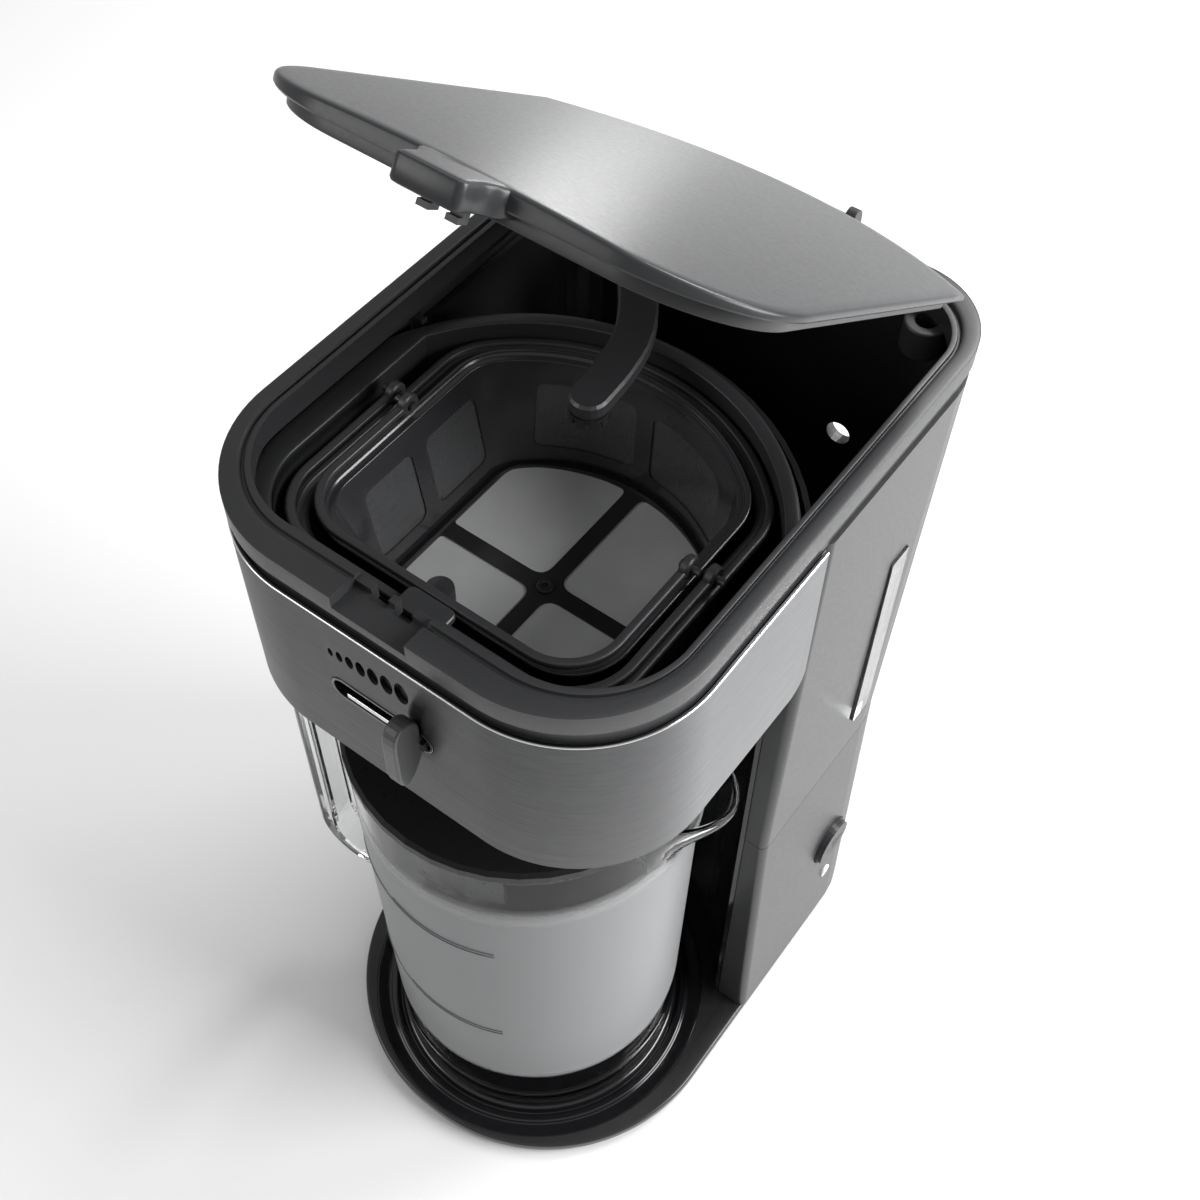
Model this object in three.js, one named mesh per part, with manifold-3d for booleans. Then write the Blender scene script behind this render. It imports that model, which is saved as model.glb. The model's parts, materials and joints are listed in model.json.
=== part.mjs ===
// Drip coffee maker for iced coffee and tea, with a large clear pitcher.
// Millimetres, +Z up, -Y is the front, +X is the machine's right-hand side.
// Everything is drawn around the pitcher's axis, then moved once so that the
// origin is in the middle of the footprint.
import * as THREE from 'three';
import { mergeVertices } from 'three/addons/utils/BufferGeometryUtils.js';
import Module from 'manifold-3d';

const wasm = await Module();
wasm.setup();

// ---------------------------------------------------------------- dimensions
const GAP = 0.3; // clearance between neighbouring pieces
const FRAME_SHIFT = [9.18, -36.65, 0]; // pitcher axis to the middle of the footprint

const FOOT = { radius: 8, height: 2.5 };
const FOOT_SPOTS = {
  front_left: [-58, -30], front_right: [58, -30],
  middle_left: [-66, 50], middle_right: [66, 50],
  back_left: [-46, 128], back_right: [46, 128],
};
const BASE = {
  half: 79, front: -72.4, frontRadius: 76.4, back: 136.9,
  backRadius: 28, top: 8, edge: 1.2,
};
const BASE_COVER = { half: 62, front: 78, back: 130, bottom: 3.2, top: 5.5 };
const WIRE_HOLE = { y: 112, radius: 8 };
const TRAY = { radius: 70.6, floor: 4.6, ring: 64.2, ringWidth: 3, dip: 5.8, pad: 59.6, padTop: 8.6 };

// the column narrows from the base to the seam, then widens to the rim
const COLUMN = { front: 40.5, cornerFront: 3, cornerBack: 28, seam: 147.2, wall: 2.6, bay: 78.2 };
const COLUMN_LEVELS = [
  { z: 8.3, half: 79.5, back: 136.9 },
  { z: 147.2, half: 75.2, back: 136.5 },
  { z: 340, half: 76.8, back: 141.2 },
];
const LINER = { inner: 76.4, outer: 77.9, bottom: 8.6, top: 257.6 };

const HEAD = {
  half: 75.8, front: -59, frontRadius: 42.4, bottom: 258.3,
  top: 325.8, wall: 2.4, floor: 2.5,
};
const STEEL = {
  half: 77.4, front: -60.6, frontRadius: 44, thick: 1.2,
  bottom: 261.3, top: 326.2, rear: 38.7, rearRadius: 9,
};
const RIM = {
  half: 76.8, front: -60.5, frontRadius: 43.2, back: 141.2,
  backRadius: 28.3, bottom: 326.5, top: 340,
};
const RIM_OPENING = { half: 69.3, front: -48.5, frontRadius: 31, back: 131, backRadius: 20 };
const RIM_STEP = { inset: 1.2, half: 72.2, z: 332 };
const NOTCH = { half: 12.5, floor: 335.6, back: -51, wallTop: 337.7 };
const BOSS = { x: 56, y: 127.5, outer: 7, inner: 3.4, bottom: 322, top: 333 };

const WELL = {
  half: 66.5, front: -48, frontRadius: 28, arc: 76.2,
  wall: 2.2, floor: 2.4, bottom: 261.2, drain: 15,
};
const WELL_FLANGE = {
  half: 72.9, front: -56.3, frontRadius: 39.8, back: 40,
  arc: 78.7, bottom: 323.4, top: 325.9,
};
const TANK = { inset: 3.2, arc: 80.8, wall: 1.8, bottom: 165, top: 321.5 };
const OVERFLOW = { x: 31.6, z: 261, radius: 4.5 };
const WINDOW = { y0: 93.2, y1: 103.4, z0: 171, z1: 264, inner: 71.2, outer: 77 };
const FLOAT = { x: 62, y: 98.3, radius: 5, z: 167.3, height: 10 };

const SLOT = { x0: -18.5, x1: 18, z0: 291.8, z1: 300.6 };
const DOTS = {
  z: 312.1, count: 7, first: -16.6, last: 8.8,
  smallest: 0.9, largest: 2.4, climb: 2.8, tall: 1.9, spread: 0.28,
};
const LEVER = { x: 12, thick: 5, reach: 10.5, z0: 283.5, z1: 311 };

const CORD = { x: -48, z: 28, radius: 7 };
const BUTTON = { y: 99.5, z: 70.4, radius: 10.6, bezel: 12.6, tip: 80.2 };
const LAMP = { y: 101.3, z: 41, radius: 3 };

const BASKET = {
  half: 58.5, front: -43.5, frontRadius: 22, arc: 72.8, corner: 22, wall: 1.8,
  rim: 3.2, top: 321, bottom: 268, floor: 2.2, taper: 0.9, middle: 30,
};
const FILTER = {
  half: 51.5, front: -36.8, frontRadius: 19, arc: 66.8, corner: 20, wall: 1.6,
  rim: 2.6, top: 322.2, bottom: 276.6, floor: 1.6, taper: 0.86, middle: 46,
};
const PANES = {
  half: 38.6, front: -18.5, frontRadius: 6, arc: 58,
  corner: 10, ribHalf: 2.8, hubY: 11.4, hub: 6,
};
const SIDE_WINDOWS = [[-18, 4], [12, 36]];
const BACK_WINDOWS = [[-34, -4], [4, 34]];
const BASKET_PADS = [[-26, -10], [26, -10], [-26, 34], [26, 34]];
const BASKET_BAIL = { x: 56.3, y: 13.5, z: 325.6, front: -44.6, corner: 20, width: 3, height: 2.6 };
const FILTER_BAIL = { x: 49.6, y: 11.5, z: 326.8, front: -38, corner: 17, width: 2.8, height: 2.4 };

const ARM = { bottom: 331, top: 336.2, half: 6.1, hub: 9 };
const ARM_LINE = [[-34, 102], [-26.5, 92.5], [-17, 80.8], [-9, 67], [-5.6, 52.5], [-4.6, 39.5]];
const NOZZLE = { radius: 6, bottom: 327.2, teeth: 9 };
const RISER = { x: -34, y: 102, outer: 5, inner: 3.2, bottom: 141, top: 330.7 };
const OUTLET = { x: 40, y: 104, radius: 3.4 };
const HOSE = { outer: 4.6, inner: 3 };

const HINGE = { y: 142.7, z: 339.5, radius: 3, pin: 1.4, half: 21, ear: 3.6, earTop: 346 };
const LID_OPEN = THREE.MathUtils.degToRad(33.8);
const LID = {
  half: 72.6, front: -46.8, frontRadius: 34, corner: 98,
  back: 126.5, bottom: 340.3, edge: 2.2, crown: 2.9,
};
const LID_TAB = { root: 12.2, tip: 9.5, front: -59.6, bottom: 338.2, top: 344.4 };
const LID_LINER = {
  half: 68.4, front: -44, frontRadius: 31, corner: 94,
  back: 118, wall: 2, bottom: 336.6, plate: 338.6,
};
const HOOK = { x: 4, half: 1.7, back: -47.8, stem: 2.6, nose: 4, bottom: 334.6, catch: 1.5 };

const PITCHER = {
  bottom: 9, floor: 4, top: 220, radius: 58.2,
  topRadius: 61.2, wall: 2.2, spoutStart: 176, spoutReach: 15,
};
const SPOUT_ANGLE = THREE.MathUtils.degToRad(9);
const HANDLE = { outer: 99, thick: 8, z0: 52, z1: 204, half: 5, bevel: 1.6, corner: 24 };
const PITCHER_LID = {
  radius: 61.8, bottom: 220.3, top: 225, skirt: 56.8,
  skirtWall: 1.8, skirtBottom: 211, tongue: 197,
};
const TONGUE_ANGLE = THREE.MathUtils.degToRad(-75);

// ---------------------------------------------------------------- materials
const charcoal = { color: 0x2d2e30, roughness: 0.5, metalness: 0 };
const charcoalLight = { color: 0x3a3b3d, roughness: 0.45, metalness: 0 };
const gloss = { color: 0x0c0d0e, roughness: 0.1, metalness: 0 };
const deepBlack = { color: 0x0a0a0b, roughness: 0.4, metalness: 0 };
const steel = { color: 0x9c9d9e, roughness: 0.32, metalness: 1 };
const polished = { color: 0xc9cacc, roughness: 0.12, metalness: 1 };
const frosted = { color: 0xc6c9ca, roughness: 0.25, metalness: 0 };
const clear = { color: 0xdfe2e3, roughness: 0.05, metalness: 0 };
const mesh = { color: 0x8b8f91, roughness: 0.6, metalness: 0.2 };
const rubber = { color: 0x161617, roughness: 0.85, metalness: 0 };
const aluminium = { color: 0xb4b6b8, roughness: 0.4, metalness: 1 };
const silicone = { color: 0xd6d3cc, roughness: 0.6, metalness: 0 };
const lampGlow = { color: 0xe8e6e0, roughness: 0.2, metalness: 0 };

// ---------------------------------------------------------------- helpers
const object = new THREE.Group();
object.name = 'drip_coffee_maker';
object.position.set(...FRAME_SHIFT);

function addPiece(name, geometry, look, parent = object) {
  geometry.computeVertexNormals();
  const piece = new THREE.Mesh(geometry, new THREE.MeshStandardMaterial(look));
  piece.name = name;
  parent.add(piece);
  return piece;
}

function toSolid(geometry) {
  const plain = geometry.clone();
  plain.deleteAttribute('normal');
  plain.deleteAttribute('uv');
  const welded = mergeVertices(plain, 1e-4);
  return new wasm.Manifold(new wasm.Mesh({
    numProp: 3,
    vertProperties: new Float32Array(welded.attributes.position.array),
    triVerts: new Uint32Array(welded.index.array),
  }));
}

function fromSolid(solid) {
  const result = solid.getMesh();
  const geometry = new THREE.BufferGeometry();
  geometry.setAttribute('position', new THREE.BufferAttribute(new Float32Array(result.vertProperties), 3));
  geometry.setIndex(new THREE.BufferAttribute(new Uint32Array(result.triVerts), 1));
  return geometry;
}

function unite(first, ...others) {
  return fromSolid(others.reduce((sum, other) => sum.add(toSolid(other)), toSolid(first)));
}

function subtract(first, ...others) {
  return fromSolid(others.reduce((rest, other) => rest.subtract(toSolid(other)), toSolid(first)));
}

function intersect(first, second) {
  return fromSolid(toSolid(first).intersect(toSolid(second)));
}

function box(x0, x1, y0, y1, z0, z1) {
  const geometry = new THREE.BoxGeometry(x1 - x0, y1 - y0, z1 - z0);
  return geometry.translate((x0 + x1) / 2, (y0 + y1) / 2, (z0 + z1) / 2);
}

function extrude(shape, z0, z1, segments = 4) {
  const geometry = new THREE.ExtrudeGeometry(shape, {
    depth: z1 - z0,
    bevelEnabled: false,
    curveSegments: segments,
  });
  return geometry.translate(0, 0, z0);
}

// the bevel stays inside the outline and inside z0..z1
function bevelled(shape, z0, z1, bevel, segments = 4, steps = 1) {
  const geometry = new THREE.ExtrudeGeometry(shape, {
    depth: z1 - z0 - 2 * bevel,
    bevelEnabled: true,
    bevelThickness: bevel,
    bevelSize: bevel,
    bevelOffset: -bevel,
    bevelSegments: steps,
    curveSegments: segments,
  });
  return geometry.translate(0, 0, z0 + bevel);
}

// a round bar or disc standing on z0
function disc(x, y, radius, z0, z1, segments = 24) {
  const geometry = new THREE.CylinderGeometry(radius, radius, z1 - z0, segments);
  return geometry.rotateX(Math.PI / 2).translate(x, y, (z0 + z1) / 2);
}

function rodAlongX(x0, x1, y, z, radius, segments = 16) {
  const geometry = new THREE.CylinderGeometry(radius, radius, x1 - x0, segments);
  return geometry.rotateZ(Math.PI / 2).translate((x0 + x1) / 2, y, z);
}

function rodAlongY(x, y0, y1, z, radius, segments = 16) {
  const geometry = new THREE.CylinderGeometry(radius, radius, y1 - y0, segments);
  return geometry.translate(x, (y0 + y1) / 2, z);
}

// profile is a closed list of [radius, z]
function turned(profile, segments = 48) {
  const points = profile.map(([r, z]) => new THREE.Vector2(r, z));
  points.push(points[0].clone());
  return new THREE.LatheGeometry(points, segments).rotateX(Math.PI / 2);
}

function tubeAlong(points, outer, inner, steps, segments = 4) {
  const path = points.map((point) => new THREE.Vector3(...point));
  const curve = new THREE.CatmullRomCurve3(path, false, 'centripetal');
  const section = new THREE.Shape().absarc(0, 0, outer, 0, 2 * Math.PI, false);
  if (inner > 0) section.holes.push(new THREE.Path().absarc(0, 0, inner, 0, 2 * Math.PI, true));
  return new THREE.ExtrudeGeometry(section, {
    steps,
    extrudePath: curve,
    curveSegments: segments,
    bevelEnabled: false,
  });
}

// rectangle with its own corner radius at the front and at the back
function plate(half, front, back, frontRadius, backRadius) {
  const shape = new THREE.Shape();
  shape.moveTo(-half + frontRadius, front);
  shape.lineTo(half - frontRadius, front);
  shape.absarc(half - frontRadius, front + frontRadius, frontRadius, -Math.PI / 2, 0, false);
  shape.lineTo(half, back - backRadius);
  shape.absarc(half - backRadius, back - backRadius, backRadius, 0, Math.PI / 2, false);
  shape.lineTo(-half + backRadius, back);
  shape.absarc(-half + backRadius, back - backRadius, backRadius, Math.PI / 2, Math.PI, false);
  shape.lineTo(-half, front + frontRadius);
  shape.absarc(-half + frontRadius, front + frontRadius, frontRadius, Math.PI, 1.5 * Math.PI, false);
  return shape;
}

// rounded front corners, straight sides and a back that is an arc around the pitcher's axis;
// corner rounds the two places where the sides meet that arc
function dShape(half, front, frontRadius, arc, corner = 0.1) {
  const x = half - corner;
  const y = Math.sqrt((arc - corner) ** 2 - x * x);
  const start = Math.atan2(y, x);
  const shape = new THREE.Shape();
  shape.moveTo(-half + frontRadius, front);
  shape.lineTo(half - frontRadius, front);
  shape.absarc(half - frontRadius, front + frontRadius, frontRadius, -Math.PI / 2, 0, false);
  shape.lineTo(half, y);
  if (corner > 1) shape.absarc(x, y, corner, 0, start, false);
  shape.absarc(0, 0, arc, start, Math.PI - start, false);
  if (corner > 1) shape.absarc(-x, y, corner, Math.PI - start, Math.PI, false);
  shape.lineTo(-half, front + frontRadius);
  shape.absarc(-half + frontRadius, front + frontRadius, frontRadius, Math.PI, 1.5 * Math.PI, false);
  return shape;
}

// shrinks the plan towards the bottom of a basket, around the point (0, middle)
function taperDown(geometry, { bottom, top, taper, middle }) {
  const position = geometry.attributes.position;
  for (let i = 0; i < position.count; i += 1) {
    const down = (top - position.getZ(i)) / (top - bottom);
    const size = 1 + (taper - 1) * down;
    position.setX(i, position.getX(i) * size);
    position.setY(i, middle + (position.getY(i) - middle) * size);
  }
  return geometry;
}

// ---------------------------------------------------------------- the column
function columnSize(z, inset) {
  const above = COLUMN_LEVELS.findIndex((level, i) => i > 0 && z <= level.z + 0.01);
  const high = COLUMN_LEVELS[above];
  const low = COLUMN_LEVELS[above - 1];
  const part = (z - low.z) / (high.z - low.z);
  return {
    half: THREE.MathUtils.lerp(low.half, high.half, part) - inset,
    back: THREE.MathUtils.lerp(low.back, high.back, part) - inset,
  };
}

// the column's outside, drawn in by inset, with the round bay for the pitcher cut out of it
function columnBlock(inset, z0, z1, bay) {
  const front = COLUMN.front + inset;
  const low = columnSize(z0, inset);
  const high = columnSize(z1, inset);
  const shape = plate(low.half, front, low.back, COLUMN.cornerFront, COLUMN.cornerBack - inset);
  const block = extrude(shape, z0, z1);
  const position = block.attributes.position;
  for (let i = 0; i < position.count; i += 1) {
    if (position.getZ(i) > (z0 + z1) / 2) {
      const depth = (position.getY(i) - front) / (low.back - front);
      position.setX(i, position.getX(i) * high.half / low.half);
      position.setY(i, front + depth * (high.back - front));
    }
  }
  return subtract(block, disc(0, 0, bay, z0 - 1, z1 + 1, 56));
}

function buildLowerShell() {
  const floor = COLUMN_LEVELS[0].z;
  const top = COLUMN.seam - GAP / 2;
  const outside = columnBlock(0, floor, top, COLUMN.bay);
  const inside = columnBlock(COLUMN.wall, floor, top - 2.4, COLUMN.bay + 2);
  const throughWall = rodAlongX(60, 90, BUTTON.y, BUTTON.z, BUTTON.bezel - 1.2, 28);
  const lampHole = rodAlongX(60, 90, LAMP.y, LAMP.z, LAMP.radius + GAP, 20);
  const cordHole = rodAlongY(CORD.x, 120, 150, CORD.z, CORD.radius + GAP, 24);
  const riserHole = disc(RISER.x, RISER.y, RISER.outer + 1.2, 120, 160, 20);
  const feedHole = disc(OUTLET.x, OUTLET.y, HOSE.outer + 1.4, 120, 160, 20);
  const shell = subtract(outside, inside, throughWall, lampHole, cordHole, riserHole, feedHole);
  addPiece('lower_shell', shell, charcoalLight);
}

function buildColumnShell() {
  const bottom = COLUMN.seam + GAP / 2;
  const top = RIM.bottom - GAP;
  const outside = columnBlock(0, bottom, top, COLUMN.bay);
  const inside = columnBlock(COLUMN.wall, bottom + 2.4, top, COLUMN.bay + 2);
  const aboveInside = columnBlock(COLUMN.wall, top - 4, top + 4, COLUMN.bay + 2);
  const headGap = box(-69, 69, 0, 86, HEAD.bottom - 0.5, top + 5);
  const overflow = rodAlongY(OVERFLOW.x, 125, 150, OVERFLOW.z, OVERFLOW.radius + 0.6, 24);
  const windowHole = box(60, 90, WINDOW.y0 - GAP, WINDOW.y1 + GAP, WINDOW.z0 - GAP, WINDOW.z1 + GAP);
  const riserHole = disc(RISER.x, RISER.y, RISER.outer + 1.2, 140, 160, 20);
  const feedHole = disc(OUTLET.x, OUTLET.y, HOSE.outer + 1.4, 140, 160, 20);
  const holes = [inside, aboveInside, headGap, overflow, windowHole, riserHole, feedHole];
  addPiece('column_shell', subtract(outside, ...holes), charcoalLight);
}

function buildLiner() {
  const ring = subtract(
    disc(0, 0, LINER.outer, LINER.bottom, LINER.top, 96),
    disc(0, 0, LINER.inner, LINER.bottom - 1, LINER.top + 1, 96),
  );
  const keep = box(-66.5, 66.5, COLUMN.front, 90, LINER.bottom - 2, LINER.top + 2);
  addPiece('bay_liner', intersect(ring, keep), gloss);
}

function buildTank() {
  const outside = columnBlock(TANK.inset, TANK.bottom, TANK.top, TANK.arc);
  const inside = columnBlock(TANK.inset + TANK.wall, TANK.bottom + 2, TANK.top + 2, TANK.arc + TANK.wall);
  const overflow = rodAlongY(OVERFLOW.x, 120, 150, OVERFLOW.z, OVERFLOW.radius, 24);
  const windowHole = box(60, 90, WINDOW.y0 - GAP, WINDOW.y1 + GAP, WINDOW.z0 - GAP, WINDOW.z1 + GAP);
  const riserHole = disc(RISER.x, RISER.y, RISER.outer + 1.6, 160, 170, 20);
  const outlet = disc(OUTLET.x, OUTLET.y, OUTLET.radius, 160, 170, 16);
  addPiece('reservoir_tank', subtract(outside, inside, overflow, windowHole, riserHole, outlet), deepBlack);
  const seal = subtract(
    disc(RISER.x, RISER.y, 9, TANK.bottom + 2 + GAP, TANK.bottom + 5, 24),
    disc(RISER.x, RISER.y, RISER.outer + GAP, 160, 175, 20),
  );
  addPiece('riser_seal', seal, silicone);
}

// ---------------------------------------------------------------- the base
function buildBase() {
  const outline = plate(BASE.half, BASE.front, BASE.back, BASE.frontRadius, BASE.backRadius);
  const block = bevelled(outline, FOOT.height + GAP, BASE.top, BASE.edge, 7, 1);
  const recess = disc(0, 0, TRAY.radius + GAP, TRAY.floor - GAP, 20, 48);
  const { half, front, back, bottom, top } = BASE_COVER;
  const pocket = box(-half, half, front, back, 0, top);
  const wires = disc(0, WIRE_HOLE.y, WIRE_HOLE.radius, 0, 12, 12);
  addPiece('base_plate', subtract(block, recess, pocket, wires), charcoal);
  const slack = GAP + 0.1;
  const cover = box(-half + slack, half - slack, front + slack, back - slack, bottom, top - GAP);
  const screws = [-40, 40].map((x) => disc(x, 104, 2, 0, 9, 12));
  addPiece('base_cover', subtract(cover, ...screws), deepBlack);
}

function buildTray() {
  const { radius, floor, ring, ringWidth, dip, pad, padTop } = TRAY;
  const inner = ring - ringWidth;
  const profile = [
    [0, floor], [radius, floor], [radius, BASE.top - 0.2], [radius - 2, 6.9], [ring + 0.6, dip],
    [ring, 7.4], [inner, 7.4], [inner - 0.4, dip], [pad + 0.5, dip], [pad - 0.6, padTop], [0, padTop],
  ];
  addPiece('drip_tray', turned(profile, 48), gloss);
}

function buildFeet() {
  Object.entries(FOOT_SPOTS).forEach(([spot, [x, y]]) => {
    addPiece(`foot_${spot}`, disc(x, y, FOOT.radius, 0, FOOT.height, 16), rubber);
  });
}

// ---------------------------------------------------------------- the brew head
function buildHeadShell() {
  const { half, front, frontRadius, bottom, top, wall, floor } = HEAD;
  const back = COLUMN.front - GAP;
  const outer = extrude(plate(half, front, back, frontRadius, 0.5), bottom, top, 7);
  const hollow = plate(half - wall, front + wall, back + 20, frontRadius - wall, 0.5);
  const inner = extrude(hollow, bottom + floor, top + 1, 7);
  const drain = disc(0, 0, WELL.drain + 3, bottom - 1, bottom + 4, 24);
  const slot = slotBox(0.8, -80, -50);
  addPiece('head_shell', subtract(outer, inner, drain, slot), charcoal);
}

// a slot with round ends through the front wall
function slotBox(grow, y0, y1) {
  const { x0, x1, z0, z1 } = SLOT;
  const radius = (z1 - z0) / 2;
  const z = (z0 + z1) / 2;
  const ends = [x0 + radius, x1 - radius].map((x) => rodAlongY(x, y0, y1, z, radius + grow, 20));
  return unite(box(x0 + radius, x1 - radius, y0, y1, z0 - grow, z1 + grow), ...ends);
}

function buildSteelBand() {
  const { half, front, frontRadius, thick, bottom, top, rear, rearRadius } = STEEL;
  const outer = extrude(plate(half, front, rear, frontRadius, 0.2), bottom, top, 8);
  const hollow = plate(half - thick, front + thick, rear + 20, frontRadius - thick, 0.2);
  const inner = extrude(hollow, bottom - 1, top + 1, 8);
  const ovals = Array.from({ length: DOTS.count }, (_, i) => {
    const part = i / (DOTS.count - 1);
    const along = part * (1 - DOTS.spread + DOTS.spread * part);
    const radius = THREE.MathUtils.lerp(DOTS.smallest, DOTS.largest, part);
    const oval = rodAlongY(0, -70, -50, 0, radius, 12).scale(1, 1, DOTS.tall);
    return oval.translate(THREE.MathUtils.lerp(DOTS.first, DOTS.last, along), 0, DOTS.z + part * DOTS.climb);
  });
  // the lower rear corners are rounded off
  const corner = subtract(
    box(-90, 90, rear - rearRadius, rear + 5, bottom - 5, bottom + rearRadius),
    rodAlongX(-95, 95, rear - rearRadius, bottom + rearRadius, rearRadius, 32),
  );
  addPiece('steel_band', subtract(outer, inner, slotBox(0.4, -70, -50), corner, ...ovals), steel);
}

function buildSlotBezel() {
  const y0 = STEEL.front + 0.1;
  const y1 = HEAD.front + HEAD.wall + 1;
  addPiece('slot_bezel', subtract(slotBox(0.1, y0, y1), slotBox(-0.9, y0 - 1, y1 + 1)), polished);
}

function buildWell() {
  const { half, front, frontRadius, arc, wall, floor, bottom, drain } = WELL;
  const top = WELL_FLANGE.top;
  const outer = extrude(dShape(half, front, frontRadius, arc), bottom, top);
  const cavity = dShape(half - wall, front + wall, frontRadius - wall, arc - wall);
  const inner = extrude(cavity, bottom + floor, top + 1);
  const edge = WELL_FLANGE;
  const flange = extrude(plate(edge.half, edge.front, edge.back, edge.frontRadius, 1), edge.bottom, top);
  const backArc = intersect(
    disc(0, 0, edge.arc, edge.bottom, top, 64),
    box(-edge.half, edge.half, 0, 90, 300, 340),
  );
  const hole = disc(0, 0, drain, bottom - 1, bottom + 5, 24);
  addPiece('brew_well', subtract(unite(outer, flange, backArc), inner, hole), charcoal);
}

// the two posts that hold the lid's hinge pin; the right one stands taller
function hingeEars() {
  return [-1, 1].map((side) => {
    const x0 = side * (HINGE.half - HINGE.ear / 2) - HINGE.ear / 2;
    const x1 = x0 + HINGE.ear;
    const roundTop = side > 0 ? HINGE.earTop - HINGE.radius : HINGE.z;
    return unite(
      box(x0, x1, 137, HINGE.y + HINGE.radius, 330, HINGE.z),
      box(x0, x1, HINGE.y - HINGE.radius, HINGE.y + HINGE.radius, HINGE.z - 5, roundTop),
      rodAlongX(x0, x1, HINGE.y, roundTop, HINGE.radius, 20),
    );
  });
}

function buildRim() {
  const { half, front, frontRadius, back, backRadius, bottom, top } = RIM;
  const inset = RIM_STEP.inset;
  const crown = bevelled(plate(half, front, back, frontRadius, backRadius), RIM_STEP.z, top, 1.2, 5);
  const outline = plate(half - inset, front + inset, back - inset, frontRadius - inset, backRadius - inset);
  const collar = extrude(outline, bottom, RIM_STEP.z + 1.5);
  const boss = disc(BOSS.x, BOSS.y, BOSS.outer, BOSS.bottom, BOSS.top, 24);
  const body = unite(crown, collar, ...hingeEars());

  // the mouth, wider below the step
  const mouth = (grow) => {
    const { half: side, front: near, back: far, frontRadius: nearRadius, backRadius: farRadius } = RIM_OPENING;
    return plate(side + grow, near - grow, far + grow, nearRadius + grow, farRadius + grow);
  };
  const opening = extrude(mouth(0), 320, 345);
  const step = extrude(mouth(RIM_STEP.half - RIM_OPENING.half), 320, RIM_STEP.z);

  // the seat of the lid's tab, with a low wall behind it and two slots for the hooks
  const notch = box(-NOTCH.half, NOTCH.half, -70, NOTCH.back, NOTCH.floor, 345);
  const lowWall = box(-NOTCH.half, NOTCH.half, NOTCH.back - 1, RIM_OPENING.front + 1, NOTCH.wallTop, 345);
  const latchHalf = HOOK.half + 1.2;
  const latches = [-HOOK.x, HOOK.x].map((x) => box(x - latchHalf, x + latchHalf, -52.4, -44, 320, 345));

  // the barrel of the lid turns in a pocket at the back
  const pocketHalf = HINGE.half - HINGE.ear - 0.01;
  const pocket = box(-pocketHalf, pocketHalf, HINGE.y - 4, 160, HINGE.z - 4, 350);
  const pin = rodAlongX(-HINGE.half - 2, HINGE.half + 2, HINGE.y, HINGE.z, HINGE.pin + GAP, 16);
  const ring = subtract(body, opening, step, notch, lowWall, pocket, pin, ...latches);
  const bossHole = disc(BOSS.x, BOSS.y, BOSS.inner, BOSS.bottom - 1, BOSS.top + 1, 20);
  addPiece('top_rim', subtract(unite(ring, boss), bossHole), charcoalLight);
  addPiece('hinge_pin', rodAlongX(-HINGE.half - 1, HINGE.half + 1, HINGE.y, HINGE.z, HINGE.pin, 16), steel);
}

// ---------------------------------------------------------------- level window, button, lamp, cord inlet
function buildSideFittings() {
  const lens = box(WINDOW.inner, WINDOW.outer, WINDOW.y0, WINDOW.y1, WINDOW.z0, WINDOW.z1);
  addPiece('level_window', lens, clear);
  const float = bevelled(
    new THREE.Shape().absarc(FLOAT.x, FLOAT.y, FLOAT.radius, 0, 2 * Math.PI, false),
    FLOAT.z,
    FLOAT.z + FLOAT.height,
    1.5,
    8,
    2,
  );
  addPiece('level_float', float, silicone);

  const bezel = subtract(
    rodAlongX(73.4, 78.8, BUTTON.y, BUTTON.z, BUTTON.bezel - 1.2 - GAP, 32),
    rodAlongX(60, 90, BUTTON.y, BUTTON.z, BUTTON.radius, 32),
  );
  addPiece('button_bezel', bezel, gloss);
  const cap = new THREE.CylinderGeometry(BUTTON.radius - GAP, BUTTON.radius - GAP, 6, 32);
  cap.rotateZ(Math.PI / 2).translate(BUTTON.tip - 3, BUTTON.y, BUTTON.z);
  const dish = new THREE.SphereGeometry(30, 24, 16).translate(BUTTON.tip + 29.2, BUTTON.y, BUTTON.z);
  addPiece('power_button', subtract(cap, dish), charcoal);
  addPiece('switch_body', box(52, 71, BUTTON.y - 9, BUTTON.y + 9, BUTTON.z - 13, BUTTON.z + 13), deepBlack);
  const lamp = rodAlongX(68, 79.2, LAMP.y, LAMP.z, LAMP.radius, 20);
  addPiece('pilot_lamp', lamp, lampGlow);
  const { x, z, radius } = CORD;
  const gland = subtract(
    unite(rodAlongY(x, 129, 142, z, radius, 24), rodAlongY(x, 137.4, 140.4, z, radius + 2.5, 24)),
    rodAlongY(x, 120, 150, z, radius / 2, 16),
  );
  addPiece('cord_inlet', gland, rubber);
  addPiece('terminal_block', box(-68, -50, 102, 116, 18, 38), silicone);
}

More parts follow.
